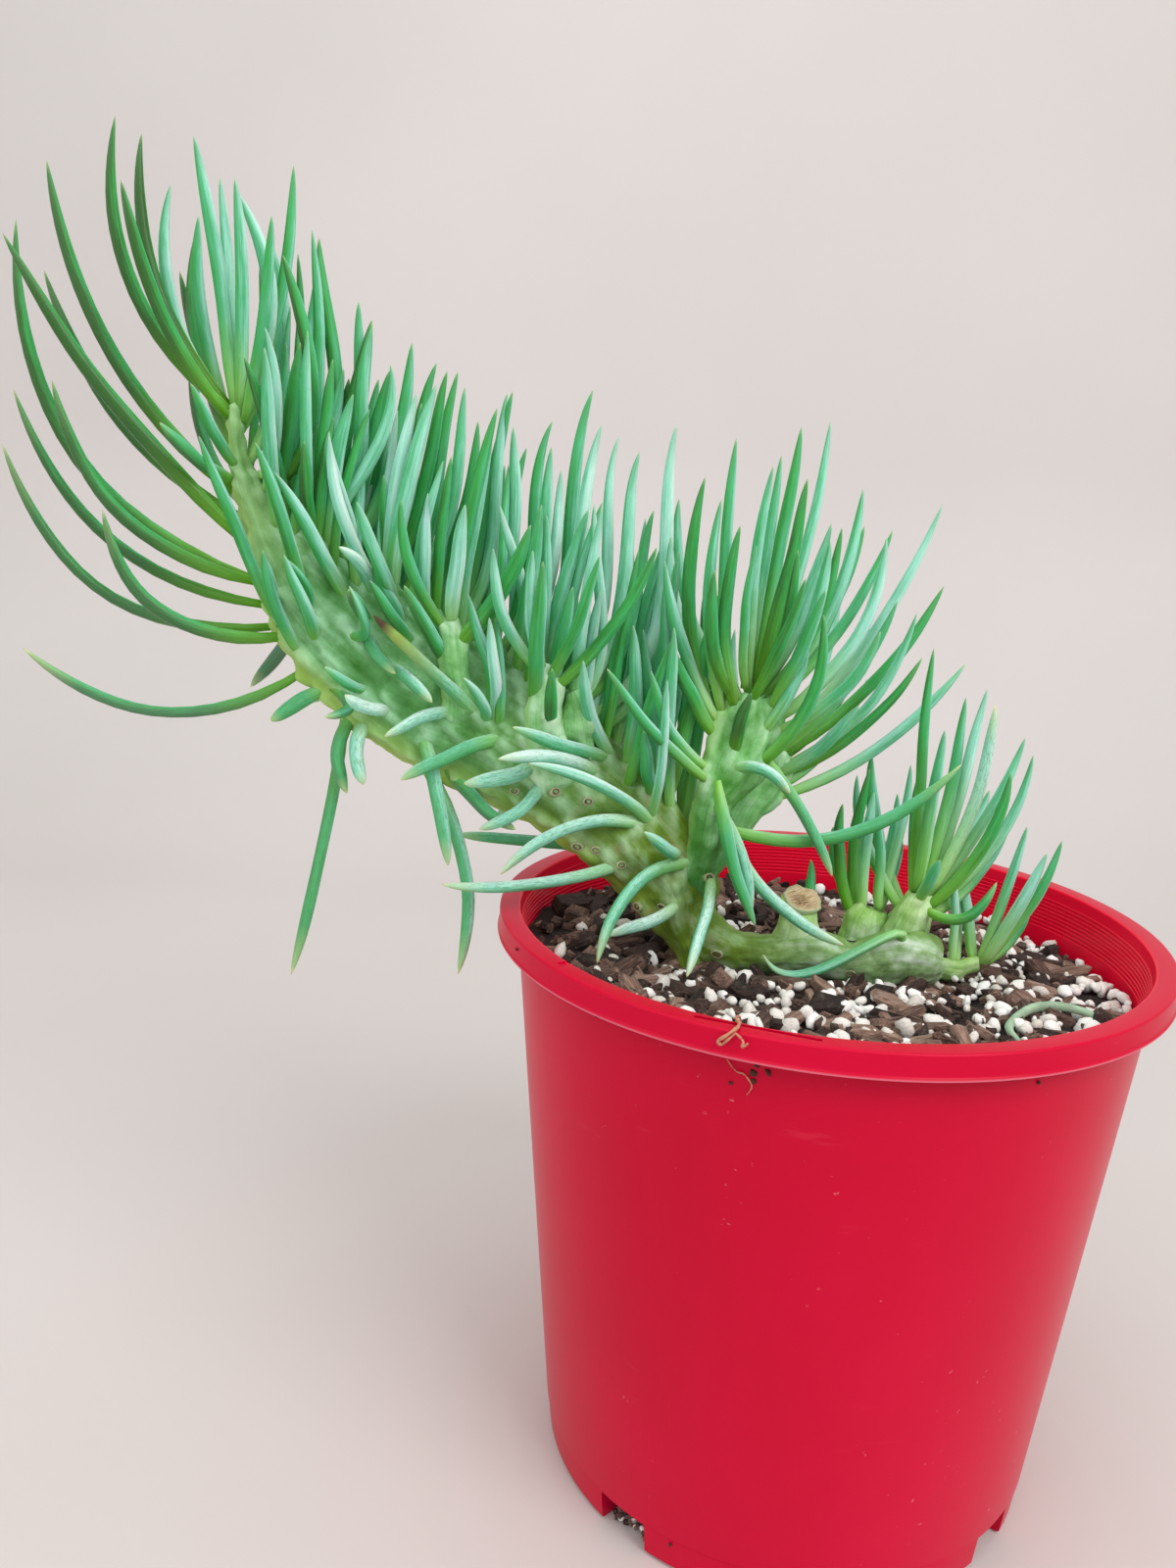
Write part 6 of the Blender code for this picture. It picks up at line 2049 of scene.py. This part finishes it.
def make_plants():
    """The pieces that stand for the crested stem, and those that stand for the creeping one."""
    upper = crested_leaves()
    stems = [stem_rings(crest_point, len(CREST), 10)]
    stems += [stem_rings(partial(branch_point, rows), len(rows), 8) for rows in CREST_BRANCHES]
    spots = np.concatenate([samples(leaf) for leaf in upper] + [stem_spots(rings) for rings in stems])
    lower = creeper_leaves(spots)
    draw = random.Random(SEED + 20)
    finer = above_soil(crest_fill(FINE_FILL, draw))
    upper += bent_clear(finer, spots, FINE_CROSSING, FREE_FROM, True)
    for rows, core in ((FAN_FRONT_LEAVES, branch_core(FAN)), (CREST_FRONT_LEAVES, crest_core())):
        upper += [set_leaf(row, core, FAN_HALF_WIDTH, draw) for row in rows]
    shoot, crest, fan, low = gathered_leaves(upper, lower, draw)
    skins = make_upper_skins(upper, face_knobs(draw))
    low_skins = make_lower_skins(lower)
    crest_look = leaf_material("crest_leaf", 0.38, 0.8)
    crested = [shoot.built("shoot_leaves", crest_look), crest.built("crest_leaves", crest_look), *skins]
    crested.append(fan.built("fan_leaves", leaf_material("fan_leaf", 0.5, 0.88)))
    crested.append(make_scars(skins + low_skins))
    low_leaves = low.built("creeper_leaves", leaf_material("base_leaf", 0.66, 0.88))
    return crested, [low_leaves, make_cut_face(), *low_skins]


def make_shed_leaf():
    """The shed leaf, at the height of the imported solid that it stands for."""
    low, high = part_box("fallen_leaf")
    level = (low.z + high.z) / 2.0 / MM
    leaf = ([Vector((x, y, level)) for x, y in FALLEN_LEAF], SHED_HALF_WIDTH)
    gathered = Gathered()
    add_leaf(gathered, leaf, 0.75, 0.9, random.Random(SEED + 30))
    return gathered.built("shed_leaf", plain_material("shed_leaf", (168, 200, 168), 0.6))


# Stage

CAMERA_PITCH = 0.2224
CAMERA_ROLL = 0.0525
CAMERA_LENS = 28.8
SENSOR_WIDTH = 36.0
NEAR_LIMIT = 0.01

# Floor and backdrop, in metres
STAGE_HALF_WIDTH = 3.0
STAGE_FRONT = -2.0
STAGE_BACK = 0.9
STAGE_TOP = 2.6
STAGE_CURVE = 0.35
STAGE_STEPS = 12
STAGE_DROP = 0.0005

# Light of the room, and lamps in metres and watts: name, place, target, size, power and colour
ROOM_LIGHT = 0.75
ROOM_COLOUR = (1.0, 0.995, 0.99, 1.0)
LAMPS = [
    ("window", (0.75, -0.95, 1.25), (-0.02, 0.0, 0.2), (0.9, 0.7), 12.6, (1.0, 0.985, 0.97)),
    ("ceiling", (-0.2, 0.1, 1.6), (-0.05, 0.0, 0.2), (1.2, 1.2), 5.2, (1.0, 0.99, 0.97)),
    ("front_fill", (-0.5, -1.1, 1.1), (0.06, 0.03, 0.17), (0.9, 0.9), 3.0, (1.0, 0.995, 0.985)),
    ("left_fill", (-1.3, -0.6, 0.7), (0.0, 0.0, 0.2), (0.8, 0.9), 1.7, (0.97, 0.99, 1.0)),
]


def make_camera():
    """The camera at the eye, looking along +Y and a little down."""
    ahead = Vector((0.0, math.cos(CAMERA_PITCH), -math.sin(CAMERA_PITCH)))
    right = Vector((1.0, 0.0, 0.0))
    up = right.cross(ahead)
    turned_right = right * math.cos(CAMERA_ROLL) + up * math.sin(CAMERA_ROLL)
    turned_up = up * math.cos(CAMERA_ROLL) - right * math.sin(CAMERA_ROLL)
    lens = bpy.data.cameras.new("camera")
    lens.lens = CAMERA_LENS
    lens.sensor_width = SENSOR_WIDTH
    lens.clip_start = NEAR_LIMIT
    camera = linked("camera", lens)
    columns = Matrix((turned_right, turned_up, -ahead)).transposed()
    camera.matrix_world = Matrix.Translation(EYE * MM) @ columns.to_4x4()
    bpy.context.scene.camera = camera


def make_light(name, place, target, size, power, colour):
    """A soft rectangular lamp that faces its target."""
    lamp = bpy.data.lights.new(name, "AREA")
    lamp.shape = "RECTANGLE"
    lamp.size, lamp.size_y = size
    lamp.energy = power
    lamp.color = colour
    light = linked(name, lamp)
    light.location = place
    light.rotation_euler = (Vector(target) - Vector(place)).to_track_quat("-Z", "Y").to_euler()


def make_stage():
    """A pale floor that curves up into a backdrop, and the light of the room."""
    outline = [(STAGE_FRONT, 0.0)]
    for index in range(STAGE_STEPS + 1):
        turn = math.radians(90.0 * index / STAGE_STEPS)
        y = STAGE_BACK - STAGE_CURVE + STAGE_CURVE * math.sin(turn)
        outline.append((y, STAGE_CURVE - STAGE_CURVE * math.cos(turn)))
    outline.append((STAGE_BACK, STAGE_TOP))
    points = [(x, y, z - STAGE_DROP) for y, z in outline for x in (-STAGE_HALF_WIDTH, STAGE_HALF_WIDTH)]
    faces = [(row, row + 1, row + 3, row + 2) for row in range(0, len(points) - 2, 2)]
    mesh = bpy.data.meshes.new("floor")
    mesh.from_pydata(points, [], faces)
    mesh.shade_smooth()
    look = Shading("pale_floor")
    cloud = look.noise(look.place(), 2.0)
    colour = look.ramp(cloud, [(0.3, (204, 199, 196)), (0.7, (212, 207, 205))])
    mesh.materials.append(look.finished(colour, 0.6))
    linked("floor", mesh)
    world = bpy.data.worlds.new("room")
    world.use_nodes = True
    background = world.node_tree.nodes["Background"]
    background.inputs["Color"].default_value = ROOM_COLOUR
    background.inputs["Strength"].default_value = ROOM_LIGHT
    bpy.context.scene.world = world
    for lamp in LAMPS:
        make_light(*lamp)


def main():
    # The sway of the leaves reads noise whose offsets come from this seed
    noise.seed_set(SEED)
    bpy.context.scene.view_settings.view_transform = "Standard"
    pot = make_pot()
    bed = make_bed()
    chips, grains = make_bits()
    crest_pieces, base_pieces = make_plants()
    shed = make_shed_leaf()
    for pieces, node in (
        ([pot], "pot"),
        ([bed, chips, grains, *make_dirt()], "potting_mix"),
        (crest_pieces, "crested_stem"),
        (base_pieces, "creeping_stem"),
        ([shed], "fallen_leaf"),
    ):
        for piece in pieces:
            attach(piece, "root")
            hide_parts(node)
    make_camera()
    make_stage()


main()
